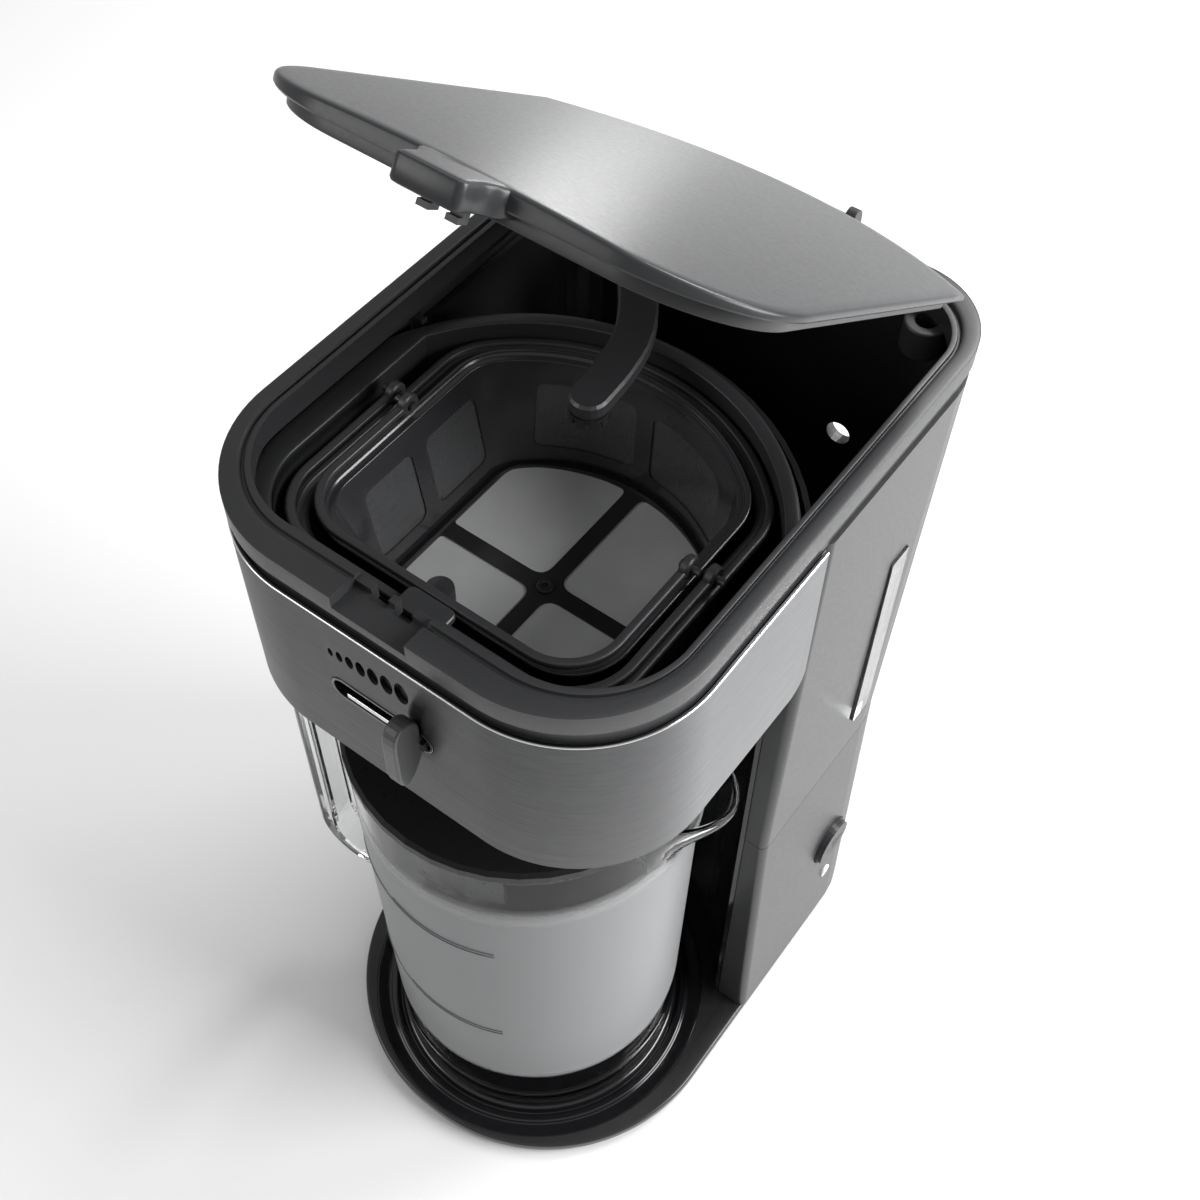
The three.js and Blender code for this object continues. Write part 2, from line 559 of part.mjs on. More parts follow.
// ---------------------------------------------------------------- water path inside the column
function buildWaterPath() {
  const heater = [[-38, 92], [-39, 114], [-26, 124], [26, 124], [39, 114], [38, 92]];
  addPiece('heater_tube', tubeAlong(heater.map(([px, py]) => [px, py, 24]), 5, 3, 12), aluminium);
  addPiece('heater_plate', box(-24, 24, 96, 119, 18, 30), aluminium);
  addPiece('thermostat', disc(-12, 108, 7, 30.3, 38, 24), polished);
  addPiece('thermal_fuse', rodAlongX(4, 20, 108, 33.4, 2.8, 14), silicone);

  const { x, y } = OUTLET;
  const { outer, inner } = HOSE;
  addPiece('check_valve', disc(x, y, 5.6, 96, 116, 20), deepBlack);
  const feed = [[x, y, 95.7], [x, 103, 75], [39, 94, 50], [38, 91.4, 38], [38, 90, 31]];
  addPiece('cold_hose_lower', tubeAlong(feed, outer, inner, 10), silicone);
  const suction = [[x, y, 116.3], [x, y, 140], [x, y, TANK.bottom - GAP]];
  addPiece('cold_hose_upper', tubeAlong(suction, outer, inner, 2), silicone);
  const hot = [
    [-38, 90, 31], [-38, 91.4, 40], [-36, 98, 70],
    [RISER.x, RISER.y, 105], [RISER.x, RISER.y, RISER.bottom - GAP],
  ];
  addPiece('hot_hose', tubeAlong(hot, outer, inner, 10), silicone);
  const riser = subtract(
    disc(RISER.x, RISER.y, RISER.outer, RISER.bottom, RISER.top, 24),
    disc(RISER.x, RISER.y, RISER.inner, RISER.bottom - 1, RISER.top + 1, 24),
  );
  addPiece('riser_tube', riser, deepBlack);
}

// ---------------------------------------------------------------- spray arm
function buildSprayArm() {
  const curve = new THREE.CatmullRomCurve3(ARM_LINE.map(([x, y]) => new THREE.Vector3(x, y, 0)));
  const count = 14;
  const left = [];
  const right = [];
  for (let i = 0; i <= count; i += 1) {
    const at = curve.getPoint(i / count);
    const along = curve.getTangent(i / count);
    left.push([at.x - along.y * ARM.half, at.y + along.x * ARM.half]);
    right.unshift([at.x + along.y * ARM.half, at.y - along.x * ARM.half]);
  }
  const outline = new THREE.Shape();
  outline.moveTo(...right[right.length - 1]);
  left.forEach(([x, y]) => outline.lineTo(x, y));
  const [tipX, tipY] = ARM_LINE[ARM_LINE.length - 1];
  const end = curve.getTangent(1);
  const start = Math.atan2(end.x, -end.y);
  outline.absarc(tipX, tipY, ARM.half, start, start - Math.PI, true);
  right.slice(0, -1).forEach(([x, y]) => outline.lineTo(x, y));
  const blade = bevelled(outline, ARM.bottom, ARM.top, 0.8, 5, 1);
  const hub = disc(RISER.x, RISER.y, ARM.hub, ARM.bottom, ARM.top, 32);
  addPiece('spray_arm', unite(blade, hub), charcoal);

  const teeth = Array.from({ length: NOZZLE.teeth }, (_, i) => {
    const angle = (i + 0.5) * 2 * Math.PI / NOZZLE.teeth;
    const cutter = box(3, 9, -0.8, 0.8, NOZZLE.bottom - 1, NOZZLE.bottom + 2);
    return cutter.rotateZ(angle).translate(tipX, tipY, 0);
  });
  const rose = disc(tipX, tipY, NOZZLE.radius, NOZZLE.bottom, ARM.bottom - GAP, 18);
  const bore = disc(tipX, tipY, 3.4, NOZZLE.bottom - 1, NOZZLE.bottom + 2, 20);
  addPiece('spray_rose', subtract(rose, bore, ...teeth), deepBlack);
}

// ---------------------------------------------------------------- hinged lid, drawn closed
function lidShape(half, front, frontRadius, corner, back) {
  const rise = back - corner;
  const radius = (half * half + rise * rise) / (2 * rise);
  const start = Math.asin((corner - (back - radius)) / radius);
  const shape = new THREE.Shape();
  shape.moveTo(-half + frontRadius, front);
  shape.lineTo(half - frontRadius, front);
  shape.absarc(half - frontRadius, front + frontRadius, frontRadius, -Math.PI / 2, 0, false);
  shape.lineTo(half, corner);
  shape.absarc(0, back - radius, radius, start, Math.PI - start, false);
  shape.lineTo(-half, front + frontRadius);
  shape.absarc(-half + frontRadius, front + frontRadius, frontRadius, Math.PI, 1.5 * Math.PI, false);
  return shape;
}

function buildLid() {
  const hinge = new THREE.Group();
  hinge.position.set(0, HINGE.y, HINGE.z);
  hinge.rotation.x = -LID_OPEN;
  object.add(hinge);
  const place = (geometry) => geometry.translate(0, -HINGE.y, -HINGE.z);

  // the top is gently crowned from side to side
  const { half, front, frontRadius, corner, back, bottom, edge, crown } = LID;
  const reach = half + 6;
  const radius = (half * half + crown * crown) / (2 * crown);
  const top = bottom + edge + crown;
  const arch = new THREE.Shape();
  const spread = Math.asin(reach / radius);
  arch.moveTo(-reach, -30);
  arch.lineTo(reach, -30);
  arch.absarc(0, -radius, radius, Math.PI / 2 - spread, Math.PI / 2 + spread, false);
  const vault = new THREE.ExtrudeGeometry(arch, { depth: 300, bevelEnabled: false, curveSegments: 8 });
  vault.rotateX(Math.PI / 2).translate(0, 200, top);
  const slab = bevelled(lidShape(half, front, frontRadius, corner, back), bottom, top + 2, 0.8, 7, 1);
  const cap = intersect(slab, vault);
  const tab = new THREE.Shape();
  tab.moveTo(-LID_TAB.root, front + 6);
  tab.lineTo(-LID_TAB.root, front + 0.5);
  tab.lineTo(-LID_TAB.tip, front - 4);
  tab.lineTo(-LID_TAB.tip, LID_TAB.front + 2);
  tab.lineTo(-LID_TAB.tip + 2, LID_TAB.front);
  tab.lineTo(LID_TAB.tip - 2, LID_TAB.front);
  tab.lineTo(LID_TAB.tip, LID_TAB.front + 2);
  tab.lineTo(LID_TAB.tip, front - 4);
  tab.lineTo(LID_TAB.root, front + 0.5);
  tab.lineTo(LID_TAB.root, front + 6);
  const lip = bevelled(tab, LID_TAB.bottom, LID_TAB.top, 0.8, 4, 1);
  const trimmed = subtract(lip, box(-20, 20, front + 0.5, front + 10, 330, bottom + 0.5));
  const tongueHalf = HINGE.half - HINGE.ear - 0.4;
  const tongue = box(-tongueHalf, tongueHalf, back - 6, HINGE.y, bottom + 0.1, HINGE.z + HINGE.radius);
  const barrel = rodAlongX(-tongueHalf, tongueHalf, HINGE.y, HINGE.z, HINGE.radius, 24);
  const pin = rodAlongX(-40, 40, HINGE.y, HINGE.z, HINGE.pin + GAP, 16);
  const clearEars = [-1, 1].map((side) => {
    const x = side * (HINGE.half - HINGE.ear / 2);
    return box(x - HINGE.ear / 2 - 0.4, x + HINGE.ear / 2 + 0.4, HINGE.y - 4.6, 160, 330, 360);
  });
  const shell = subtract(unite(cap, trimmed, tongue, barrel), pin, ...clearEars);
  addPiece('lid_shell', place(shell), charcoalLight, hinge);

  const lining = LID_LINER;
  const outline = lidShape(lining.half, lining.front, lining.frontRadius, lining.corner, lining.back);
  const core = lidShape(
    lining.half - lining.wall,
    lining.front + lining.wall,
    lining.frontRadius - lining.wall,
    lining.corner - 0.5,
    lining.back - lining.wall,
  );
  const tray = subtract(
    extrude(outline, lining.bottom, bottom - GAP, 6),
    extrude(core, lining.bottom - 1, lining.plate, 6),
  );
  addPiece('lid_liner', place(tray), charcoal, hinge);

  const catchTop = HOOK.bottom + HOOK.catch;
  [['left', -HOOK.x], ['right', HOOK.x]].forEach(([side, x]) => {
    const [x0, x1] = [x - HOOK.half, x + HOOK.half];
    const stem = box(x0, x1, HOOK.back - HOOK.stem, HOOK.back, HOOK.bottom, LID_TAB.bottom - GAP);
    const nose = box(x0, x1, HOOK.back - HOOK.nose, HOOK.back, HOOK.bottom, catchTop);
    addPiece(`lid_hook_${side}`, place(unite(stem, nose)), charcoal, hinge);
  });
}

// ---------------------------------------------------------------- brew basket and permanent filter
function insetShape({ half, front, frontRadius, arc, corner }, inset) {
  return dShape(half - inset, front + inset, frontRadius - inset, arc - inset, corner - inset);
}

// a tapering cup with a flat flange round its mouth
function cup(spec) {
  const { wall, rim, top, bottom, floor } = spec;
  const cavity = insetShape(spec, rim + wall);
  const outside = taperDown(extrude(insetShape(spec, rim), bottom, top), spec);
  const flange = extrude(insetShape(spec, 0), top - 2.4, top);
  const inside = taperDown(extrude(cavity, bottom, top), spec);
  const hollow = intersect(inside, box(-90, 90, -90, 120, bottom + floor, top + 9));
  const mouth = extrude(cavity, top - 0.1, top + 5);
  return subtract(unite(outside, flange), hollow, mouth);
}

function buildBasket() {
  const { bottom, top } = BASKET;
  const outlet = disc(0, 0, 6, bottom - 2, bottom + 4, 24);
  const pads = BASKET_PADS.map(([x, y]) => disc(x, y, 3, bottom + 1, FILTER.bottom - 1, 12));
  const lugs = bailLugs(BASKET_BAIL, top, 1.6);
  addPiece('brew_basket', unite(subtract(cup(BASKET), outlet), ...pads, ...lugs), charcoal);
  const valve = subtract(
    unite(disc(0, 0, 5.6, 260.5, 271.4, 24), disc(0, 0, 8.4, 265.6, 267.7, 24)),
    disc(0, 0, 2.4, 255, 275, 16),
  );
  addPiece('drip_valve', valve, rubber);
}

// upright ears that hold the pins of a carrying bail
function bailLugs(bail, top, thick) {
  return [-1, 1].map((side) => {
    const x0 = side * (bail.x + bail.width / 2 + GAP);
    const x1 = x0 + side * thick;
    const low = Math.min(x0, x1);
    const high = Math.max(x0, x1);
    const ear = unite(
      box(low, high, bail.y - 3, bail.y + 3, top - 3, bail.z),
      rodAlongX(low, high, bail.y, bail.z, 3, 16),
    );
    return subtract(ear, rodAlongX(low - 5, high + 5, bail.y, bail.z, 1.2 + GAP, 12));
  });
}

// four panes in the filter's floor, kept apart by a cross of ribs
function floorPanes(z0, z1) {
  const { half, front, frontRadius, arc, corner, ribHalf, hubY, hub } = PANES;
  return subtract(
    extrude(dShape(half, front, frontRadius, arc, corner), z0, z1, 5),
    box(-ribHalf, ribHalf, -60, 80, z0 - 1, z1 + 1),
    box(-60, 60, hubY - ribHalf, hubY + ribHalf, z0 - 1, z1 + 1),
    disc(0, hubY, hub, z0 - 1, z1 + 1, 24),
  );
}

function buildFilter() {
  const { front, wall, rim, bottom, top } = FILTER;
  const [low, high] = [bottom + 8, top - 10];
  const windows = [
    ...SIDE_WINDOWS.map(([y0, y1]) => box(-70, 70, y0, y1, low, high)),
    ...BACK_WINDOWS.map(([x0, x1]) => box(x0, x1, 40, 80, low, high)),
  ];
  const cut = subtract(cup(FILTER), floorPanes(bottom - 2, bottom + 3), ...windows);
  const rivet = disc(0, PANES.hubY, 2.4, bottom + 1, bottom + 2.6, 16);
  const lugs = bailLugs(FILTER_BAIL, top, 1.6);
  const thumb = intersect(
    disc(-22, front + 6, 7, top - 4, top + 1.4, 24),
    box(-40, 0, front + 2, 0, top - 5, top + 2),
  );
  addPiece('filter_frame', unite(cut, rivet, thumb, ...lugs), charcoal);

  // one sheet under the floor panes, one belt inside the side windows
  const sheet = taperDown(extrude(insetShape(FILTER, rim + 1), bottom, top, 6), FILTER);
  const slice = intersect(sheet, box(-90, 90, -90, 120, bottom - 0.1, bottom + 0.4));
  addPiece('filter_floor_mesh', slice.translate(0, 0, -0.7), mesh);
  const inset = rim + wall + 0.7;
  const belt = subtract(
    taperDown(extrude(insetShape(FILTER, inset), bottom, top, 6), FILTER),
    taperDown(extrude(insetShape(FILTER, inset + 0.5), bottom - 5, top + 5, 6), FILTER),
  );
  addPiece('filter_side_mesh', intersect(belt, box(-90, 90, -90, 120, bottom + 6, top - 8)), mesh);
}

// a flat strap bent into a U, lying forward over the rim
function buildBail(name, bail, tabbed) {
  const { x, y, z, front, corner, width, height } = bail;
  const outer = plate(x + width / 2, front, y + 40, corner, 1);
  const inner = plate(x - width / 2, front + width, y + 60, corner - width, 1);
  const strap = subtract(
    extrude(outer, z - height / 2, z + height / 2),
    extrude(inner, z - height, z + height),
    box(-90, 90, y, y + 80, z - 9, z + 9),
  );
  const eyes = [-1, 1].map((side) => {
    const middle = side * x;
    return rodAlongX(middle - width / 2, middle + width / 2, y, z, 3.6, 16);
  });
  const pieces = [strap, ...eyes];
  if (tabbed) {
    const tab = bevelled(plate(8, front - 1.6, front + 6, 2, 2), z + 0.7, z + 3.2, 0.6, 3, 1);
    pieces.push(tab.translate(3, 0, 0));
  }
  const holes = rodAlongX(-90, 90, y, z, 1.2 + GAP, 12);
  addPiece(name, subtract(unite(...pieces), holes), charcoal);
}

function buildBailPins(name, bail) {
  [['left', -1], ['right', 1]].forEach(([word, side]) => {
    const ends = [side * (bail.x - bail.width / 2 - 1), side * (bail.x + bail.width / 2 + 2.6)];
    const pin = rodAlongX(Math.min(...ends), Math.max(...ends), bail.y, bail.z, 1.2, 12);
    addPiece(`${name}_${word}`, pin, steel);
  });
}

// ---------------------------------------------------------------- strength lever
function buildLever() {
  const { x, thick, reach, z0, z1 } = LEVER;
  const face = STEEL.front;
  const slotZ = (SLOT.z0 + SLOT.z1) / 2;
  const fin = new THREE.Shape();
  fin.moveTo(-face + 0.5, z0 + 8);
  fin.quadraticCurveTo(-face + reach * 0.4, z0, -face + reach * 0.75, z0);
  fin.quadraticCurveTo(-face + reach, z0 + 2, -face + reach, z0 + 7);
  fin.lineTo(-face + reach, z1 - 8);
  fin.quadraticCurveTo(-face + reach, z1, -face + reach * 0.6, z1);
  fin.quadraticCurveTo(-face + 1.5, z1, -face + 0.5, z1 - 6);
  const blade = new THREE.ExtrudeGeometry(fin, {
    depth: thick - 1.6,
    bevelEnabled: true,
    bevelThickness: 0.8,
    bevelSize: 0.8,
    bevelOffset: -0.8,
    bevelSegments: 2,
    curveSegments: 5,
  });
  // drawn in (depth, height), then turned so that depth runs towards the front
  blade.translate(0, 0, -(thick - 1.6) / 2);
  blade.rotateX(Math.PI / 2).rotateZ(-Math.PI / 2).translate(x, 0, 0);
  const stem = box(x - 2.2, x + 2.2, face - 2, -54.2, slotZ - 2.8, slotZ + 2.8);
  addPiece('strength_lever', unite(blade, stem), charcoal);
  const slider = box(x - 9, x + 6, -53.9, -52.4, slotZ - 7, slotZ + 7);
  addPiece('lever_slider', slider, silicone);
  const clip = box(x + 2.5, x + 3.9, face - 1.6, -55, slotZ - 1.6, slotZ + 1.6);
  addPiece('lever_clip', clip, deepBlack);
}

// ---------------------------------------------------------------- pitcher
// pulls the wall out into a pouring lip on one side
function pullSpout(geometry) {
  const position = geometry.attributes.position;
  for (let i = 0; i < position.count; i += 1) {
    const x = position.getX(i);
    const y = position.getY(i);
    const z = position.getZ(i);
    const turn = Math.atan2(y, x) - SPOUT_ANGLE;
    const away = Math.abs(Math.atan2(Math.sin(turn), Math.cos(turn)));
    const side = Math.max(0, 1 - away / 0.42);
    const rise = THREE.MathUtils.smoothstep(z, PITCHER.spoutStart, PITCHER.top);
    const pull = side * side * (3 - 2 * side) * rise * rise * PITCHER.spoutReach;
    const radius = Math.hypot(x, y);
    if (radius > 30) {
      position.setX(i, x * (radius + pull) / radius);
      position.setY(i, y * (radius + pull) / radius);
    }
  }
  return geometry;
}

function pitcherRadius(z) {
  return THREE.MathUtils.mapLinear(z, PITCHER.bottom, PITCHER.top, PITCHER.radius, PITCHER.topRadius);
}

function buildPitcher() {
  const { bottom, floor, top, wall, spoutStart } = PITCHER;
  const levels = [bottom + 4, spoutStart, 194, 208, top];
  const outside = levels.map((z) => [pitcherRadius(z), z]);
  const inside = [...levels].reverse().slice(0, -1).map((z) => [pitcherRadius(z) - wall, z]);
  const profile = [
    [0, bottom + 2.5], [46, bottom + 2.5], [48, bottom], [55, bottom], ...outside,
    ...inside, [pitcherRadius(bottom) - wall - 1, bottom + floor + 4],
    [51, bottom + floor], [0, bottom + floor],
  ];
  addPiece('pitcher', pullSpout(turned(profile, 44)), frosted);

  const { outer, thick, z0, z1, half, bevel, corner } = HANDLE;
  const shape = new THREE.Shape();
  const near = (z) => pitcherRadius(z) + 3 * GAP;
  shape.moveTo(near(z0), z0);
  shape.lineTo(outer - corner, z0);
  shape.absarc(outer - corner, z0 + corner, corner, -Math.PI / 2, 0, false);
  shape.lineTo(outer, z1 - corner * 0.6);
  shape.absarc(outer - corner * 0.6, z1 - corner * 0.6, corner * 0.6, 0, Math.PI / 2, false);
  shape.lineTo(near(z1), z1);
  shape.lineTo(near(z1 - thick), z1 - thick);
  shape.lineTo(outer - corner * 0.6, z1 - thick);
  shape.absarc(outer - corner * 0.6, z1 - corner * 0.6, corner * 0.6 - thick, Math.PI / 2, 0, true);
  shape.lineTo(outer - thick, z0 + corner);
  shape.absarc(outer - corner, z0 + corner, corner - thick, 0, -Math.PI / 2, true);
  shape.lineTo(near(z0 + thick), z0 + thick);
  const loop = new THREE.ExtrudeGeometry(shape, {
    depth: 2 * half,
    bevelEnabled: true,
    bevelThickness: bevel,
    bevelSize: bevel,
    bevelOffset: -bevel,
    bevelSegments: 2,
    curveSegments: 4,
  });
  loop.translate(0, 0, -half).rotateX(Math.PI / 2).rotateZ(SPOUT_ANGLE + Math.PI);
  addPiece('pitcher_handle', loop, clear);
}

function buildPitcherLid() {
  const { radius, bottom, top, skirt, skirtWall, skirtBottom, tongue } = PITCHER_LID;
  const bore = skirt - skirtWall;
  const cap = turned([
    [0, bottom + 1.1], [bore, bottom + 1.1], [bore, skirtBottom], [skirt, skirtBottom], [skirt, bottom],
    [radius, bottom], [radius, top - 1.4], [radius - 1.4, top], [42, top], [30, top - 1.8], [0, top - 1.8],
  ], 40);
  const ring = turned([[bore, tongue], [skirt, tongue], [skirt, bottom], [bore, bottom]], 40);
  const scallop = box(40, 70, -15, 15, tongue - 1, bottom + 1);
  const tongues = [TONGUE_ANGLE, TONGUE_ANGLE + Math.PI].map((angle) => {
    return intersect(ring, scallop.clone().rotateZ(angle));
  });
  const holes = Array.from({ length: 6 }, (_, i) => {
    const angle = i * Math.PI / 3;
    return disc(12 * Math.cos(angle), 12 * Math.sin(angle), 3, 215, 230, 8);
  });
  addPiece('pitcher_lid', subtract(unite(cap, ...tongues), ...holes), deepBlack);
}

buildBase();
buildTray();
buildFeet();
buildLowerShell();
buildColumnShell();
buildLiner();
buildTank();
buildHeadShell();
buildSteelBand();
buildSlotBezel();
buildWell();
buildRim();
buildSideFittings();
buildWaterPath();
buildSprayArm();
buildLid();
buildBasket();
buildFilter();
buildBail('basket_bail', BASKET_BAIL, true);
buildBail('filter_bail', FILTER_BAIL, false);
buildBailPins('basket_pin', BASKET_BAIL);
buildBailPins('filter_pin', FILTER_BAIL);
buildLever();
buildPitcher();
buildPitcherLid();

export default object;
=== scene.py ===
import json
import math
import random

import bmesh
import bpy
from mathutils import Matrix, Vector


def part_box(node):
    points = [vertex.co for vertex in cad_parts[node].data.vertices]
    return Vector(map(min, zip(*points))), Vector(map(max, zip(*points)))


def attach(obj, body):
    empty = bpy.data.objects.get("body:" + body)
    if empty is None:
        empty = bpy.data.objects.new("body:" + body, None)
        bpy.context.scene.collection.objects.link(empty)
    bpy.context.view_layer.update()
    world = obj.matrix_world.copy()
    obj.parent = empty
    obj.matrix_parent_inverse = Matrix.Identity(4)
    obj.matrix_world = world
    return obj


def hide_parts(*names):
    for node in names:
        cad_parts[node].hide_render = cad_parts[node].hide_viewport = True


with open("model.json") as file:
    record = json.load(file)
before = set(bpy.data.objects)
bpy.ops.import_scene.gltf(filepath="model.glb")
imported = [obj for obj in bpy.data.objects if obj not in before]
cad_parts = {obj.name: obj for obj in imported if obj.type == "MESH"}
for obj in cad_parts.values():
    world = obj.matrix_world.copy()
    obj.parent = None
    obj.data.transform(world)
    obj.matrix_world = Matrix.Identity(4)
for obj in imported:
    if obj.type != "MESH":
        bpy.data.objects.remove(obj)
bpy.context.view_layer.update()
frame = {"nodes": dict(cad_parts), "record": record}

# The plan is drawn in millimetres around the pitcher's axis: -Y front, +X the machine's right, z up.
MM = 0.001
TRAY_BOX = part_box("drip_tray")
AXIS = (TRAY_BOX[0] + TRAY_BOX[1]) / 2
random.seed(7)

RIM_OUT = dict(half=76.8, front=-60.5, back=141.2, r_front=43.2, r_back=28.3)
RIM_IN = dict(half=69.3, front=-48.5, back=131, r_front=31, r_back=20)
STEEL = dict(half=77.4, front=-60.6, r_front=44, rear=38.7, bottom=261.3, top=326.2, thick=1.2)
LID = dict(half=72.6, front=-46.8, r_front=34, corner=98, back=126.5, bottom=340.3, edge=2.2, crown=2.9)
TAB = dict(root=12.2, tip=9.5, nose=-59.6)
HINGE = dict(y=142.7, z=339.5, radius=3, half=21, ear=3.6, top=346, open=33.8)
NOTCH = dict(half=12.5, floor=335.6, wall_top=337.7)
LATCH_SLOTS = ((-6.9, -1.1), (1.1, 6.9))
DOTS = dict(count=7, first=-16.6, last=8.8, low=312.1, climb=2.8, spread=0.28)
SLOT = dict(x0=-18.5, x1=18, z0=291.8, z1=300.6)
WELL = dict(half=66.5, front=-48, r_front=28, arc=76.2, r_rear=1)
WELL_FLANGE = dict(half=72.9, front=-56.3, r_front=39.8, arc=78.7, r_rear=1)
BASKET = dict(half=58.5, front=-43.5, r_front=22, arc=72.8, r_rear=22)
FILTER = dict(half=51.5, front=-36.8, r_front=19, arc=66.8, r_rear=20)
PITCHER = dict(bottom=9, top=220, radius=58.2, top_radius=61.2, wall=2.2)
SPOUT_ANGLE = math.radians(9)
FILL_LINES = dict(fill_line_low=89.0, fill_line_high=160.4)
BASKET_CUP = dict(low=268, high=321, taper=0.9, middle=30)
FILTER_CUP = dict(low=276.6, high=322.2, taper=0.86, middle=46)
HUB_Y = 11.4
RIB_HALF = 2.8
THUMB = dict(x=-1, y=-32.4, radius=4.2, flat=3)
BASKET_BAIL = dict(x=56.3, y=13.5, z=325.6, front=-43.1, corner=20, width=3, height=2.6)
FILTER_BAIL = dict(x=49.6, y=11.5, z=326.8, front=-36.6, corner=17, width=2.8, height=2.4)
BASE = dict(half=79, front=-72.4, back=136.9, r_front=76.4, r_back=28)
SEAM = dict(half=75.2, front=40.5, back=136.5, r_front=3, r_back=28)
CAMERA = dict(yaw=35.735, pitch=53.518, roll=1.039, lens=47.6, place=(183.03, -214.3, 664.24))


# ------------------------------------------------------------------ helpers: shapes
def at(x, y, z):
    """Millimetres around the pitcher's axis to metres in the row frame."""
    return Vector((AXIS.x + x * MM, AXIS.y + y * MM, z * MM))


def arc(cx, cy, radius, start, end, steps):
    """Points on an arc, angles in degrees."""
    angles = [math.radians(start + (end - start) * i / steps) for i in range(steps + 1)]
    return [(cx + radius * math.cos(a), cy + radius * math.sin(a)) for a in angles]


def joined(runs, steps):
    """Runs of points joined into one closed outline, with steps points along each straight stretch."""
    points = []
    for run, following in zip(runs, runs[1:] + runs[:1]):
        points += run
        (x0, y0), (x1, y1) = run[-1], following[0]
        points += [(x0 + (x1 - x0) * i / steps, y0 + (y1 - y0) * i / steps) for i in range(1, steps)]
    return points


def plate(half, front, back, r_front, r_back, corner=22, side=10):
    """Rounded rectangle; corner and side are the numbers of steps round a corner and along a side."""
    runs = [
        arc(half - r_front, front + r_front, r_front, -90, 0, corner),
        arc(half - r_back, back - r_back, r_back, 0, 90, corner),
        arc(-half + r_back, back - r_back, r_back, 90, 180, corner),
        arc(-half + r_front, front + r_front, r_front, 180, 270, corner),
    ]
    return joined(runs, side)


def d_shape(half, front, r_front, arc_radius, r_rear, steps=20):
    """Rounded corners, straight sides and a back that is an arc round the pitcher's axis."""
    x = half - r_rear
    y = math.sqrt((arc_radius - r_rear) ** 2 - x * x)
    start = math.degrees(math.atan2(y, x))
    runs = [
        arc(half - r_front, front + r_front, r_front, -90, 0, steps),
        arc(x, y, r_rear, 0, start, steps)[:-1] + arc(0, 0, arc_radius, start, 180 - start, 2 * steps)
        + arc(-x, y, r_rear, 180 - start, 180, steps)[1:],
        arc(-half + r_front, front + r_front, r_front, 180, 270, steps),
    ]
    return joined(runs, 8)


def shrunk(shape, inset):
    """The same plan with everything drawn in by inset."""
    small = dict(shape)
    small["half"] -= inset
    small["front"] += inset
    small["r_front"] = max(0.4, small["r_front"] - inset)
    if "arc" in small:
        small["arc"] -= inset
        small["r_rear"] = max(0.3, small["r_rear"] - inset)
    if "back" in small:
        small["back"] -= inset
    if "r_back" in small:
        small["r_back"] = max(0.4, small["r_back"] - inset)
    return small


def between(a, b, t):
    """The plan a part t of the way from a to b."""
    return {key: a[key] + (b[key] - a[key]) * t for key in a}


def d_plan(shape):
    return d_shape(shape["half"], shape["front"], shape["r_front"], shape["arc"], shape["r_rear"])


def rounded(points, radius, steps=4, closed=True):
    """Rounds the corners of a section. A point may carry its own radius as a third number."""
    count = len(points)
    result = []
    for i, point in enumerate(points):
        here = Vector(point[:2])
        size = point[2] if len(point) > 2 else radius
        if size <= 0 or (not closed and i in (0, count - 1)):
            result.append(tuple(here))
            continue
        before = Vector(points[i - 1][:2]) - here
        after = Vector(points[(i + 1) % count][:2]) - here
        reach = min(size, before.length * 0.48, after.length * 0.48)
        first = here + before.normalized() * reach
        last = here + after.normalized() * reach
        for k in range(steps + 1):
            t = k / steps
            result.append(tuple((1 - t) ** 2 * first + 2 * t * (1 - t) * here + t * t * last))
    return result


def build(name, points, faces, sharp=32):
    """A mesh object from points in millimetres."""
    mesh = bpy.data.meshes.new(name)
    mesh.from_pydata([at(*p) for p in points], [], faces)
    mesh.validate()
    obj = bpy.data.objects.new(name, mesh)
    bpy.context.collection.objects.link(obj)
    face_out(obj)
    shade(obj, sharp)
    return obj


def face_out(obj):
    """Turns the faces so that the closed mesh has a positive volume."""
    work = bmesh.new()
    work.from_mesh(obj.data)
    bmesh.ops.remove_doubles(work, verts=work.verts, dist=1e-7)
    bmesh.ops.recalc_face_normals(work, faces=work.faces)
    if work.calc_volume(signed=True) < 0:
        bmesh.ops.reverse_faces(work, faces=work.faces)
    work.to_mesh(obj.data)
    work.free()


def shade(obj, sharp=32):
    obj.data.polygons.foreach_set("use_smooth", [True] * len(obj.data.polygons))
    obj.data.set_sharp_from_angle(angle=math.radians(sharp))


def loft(name, rings, loop=False, sharp=32):
    """Quads between rings of equal length. A loop joins the last ring to the first. Otherwise both ends
    are capped."""
    size = len(rings[0])
    points = [p for ring in rings for p in ring]
    faces = []
    pairs = len(rings) if loop else len(rings) - 1
    for i in range(pairs):
        a, b = i * size, ((i + 1) % len(rings)) * size
        for k in range(size):
            n = (k + 1) % size
            faces.append((a + k, a + n, b + n, b + k))
    if not loop:
        faces.append(tuple(range(size))[::-1])
        last = (len(rings) - 1) * size
        faces.append(tuple(last + k for k in range(size)))
    return build(name, points, faces, sharp)


def turned(name, section, segments=160, centre=(0, 0), sharp=32):
    """Turns a closed section of (radius, z) round a vertical axis."""
    rings = []
    for radius, z in section:
        ring = []
        for k in range(segments):
            angle = 2 * math.pi * k / segments
            ring.append((centre[0] + radius * math.cos(angle), centre[1] + radius * math.sin(angle), z))
        rings.append(ring)
    return loft(name, rings, loop=True, sharp=sharp)


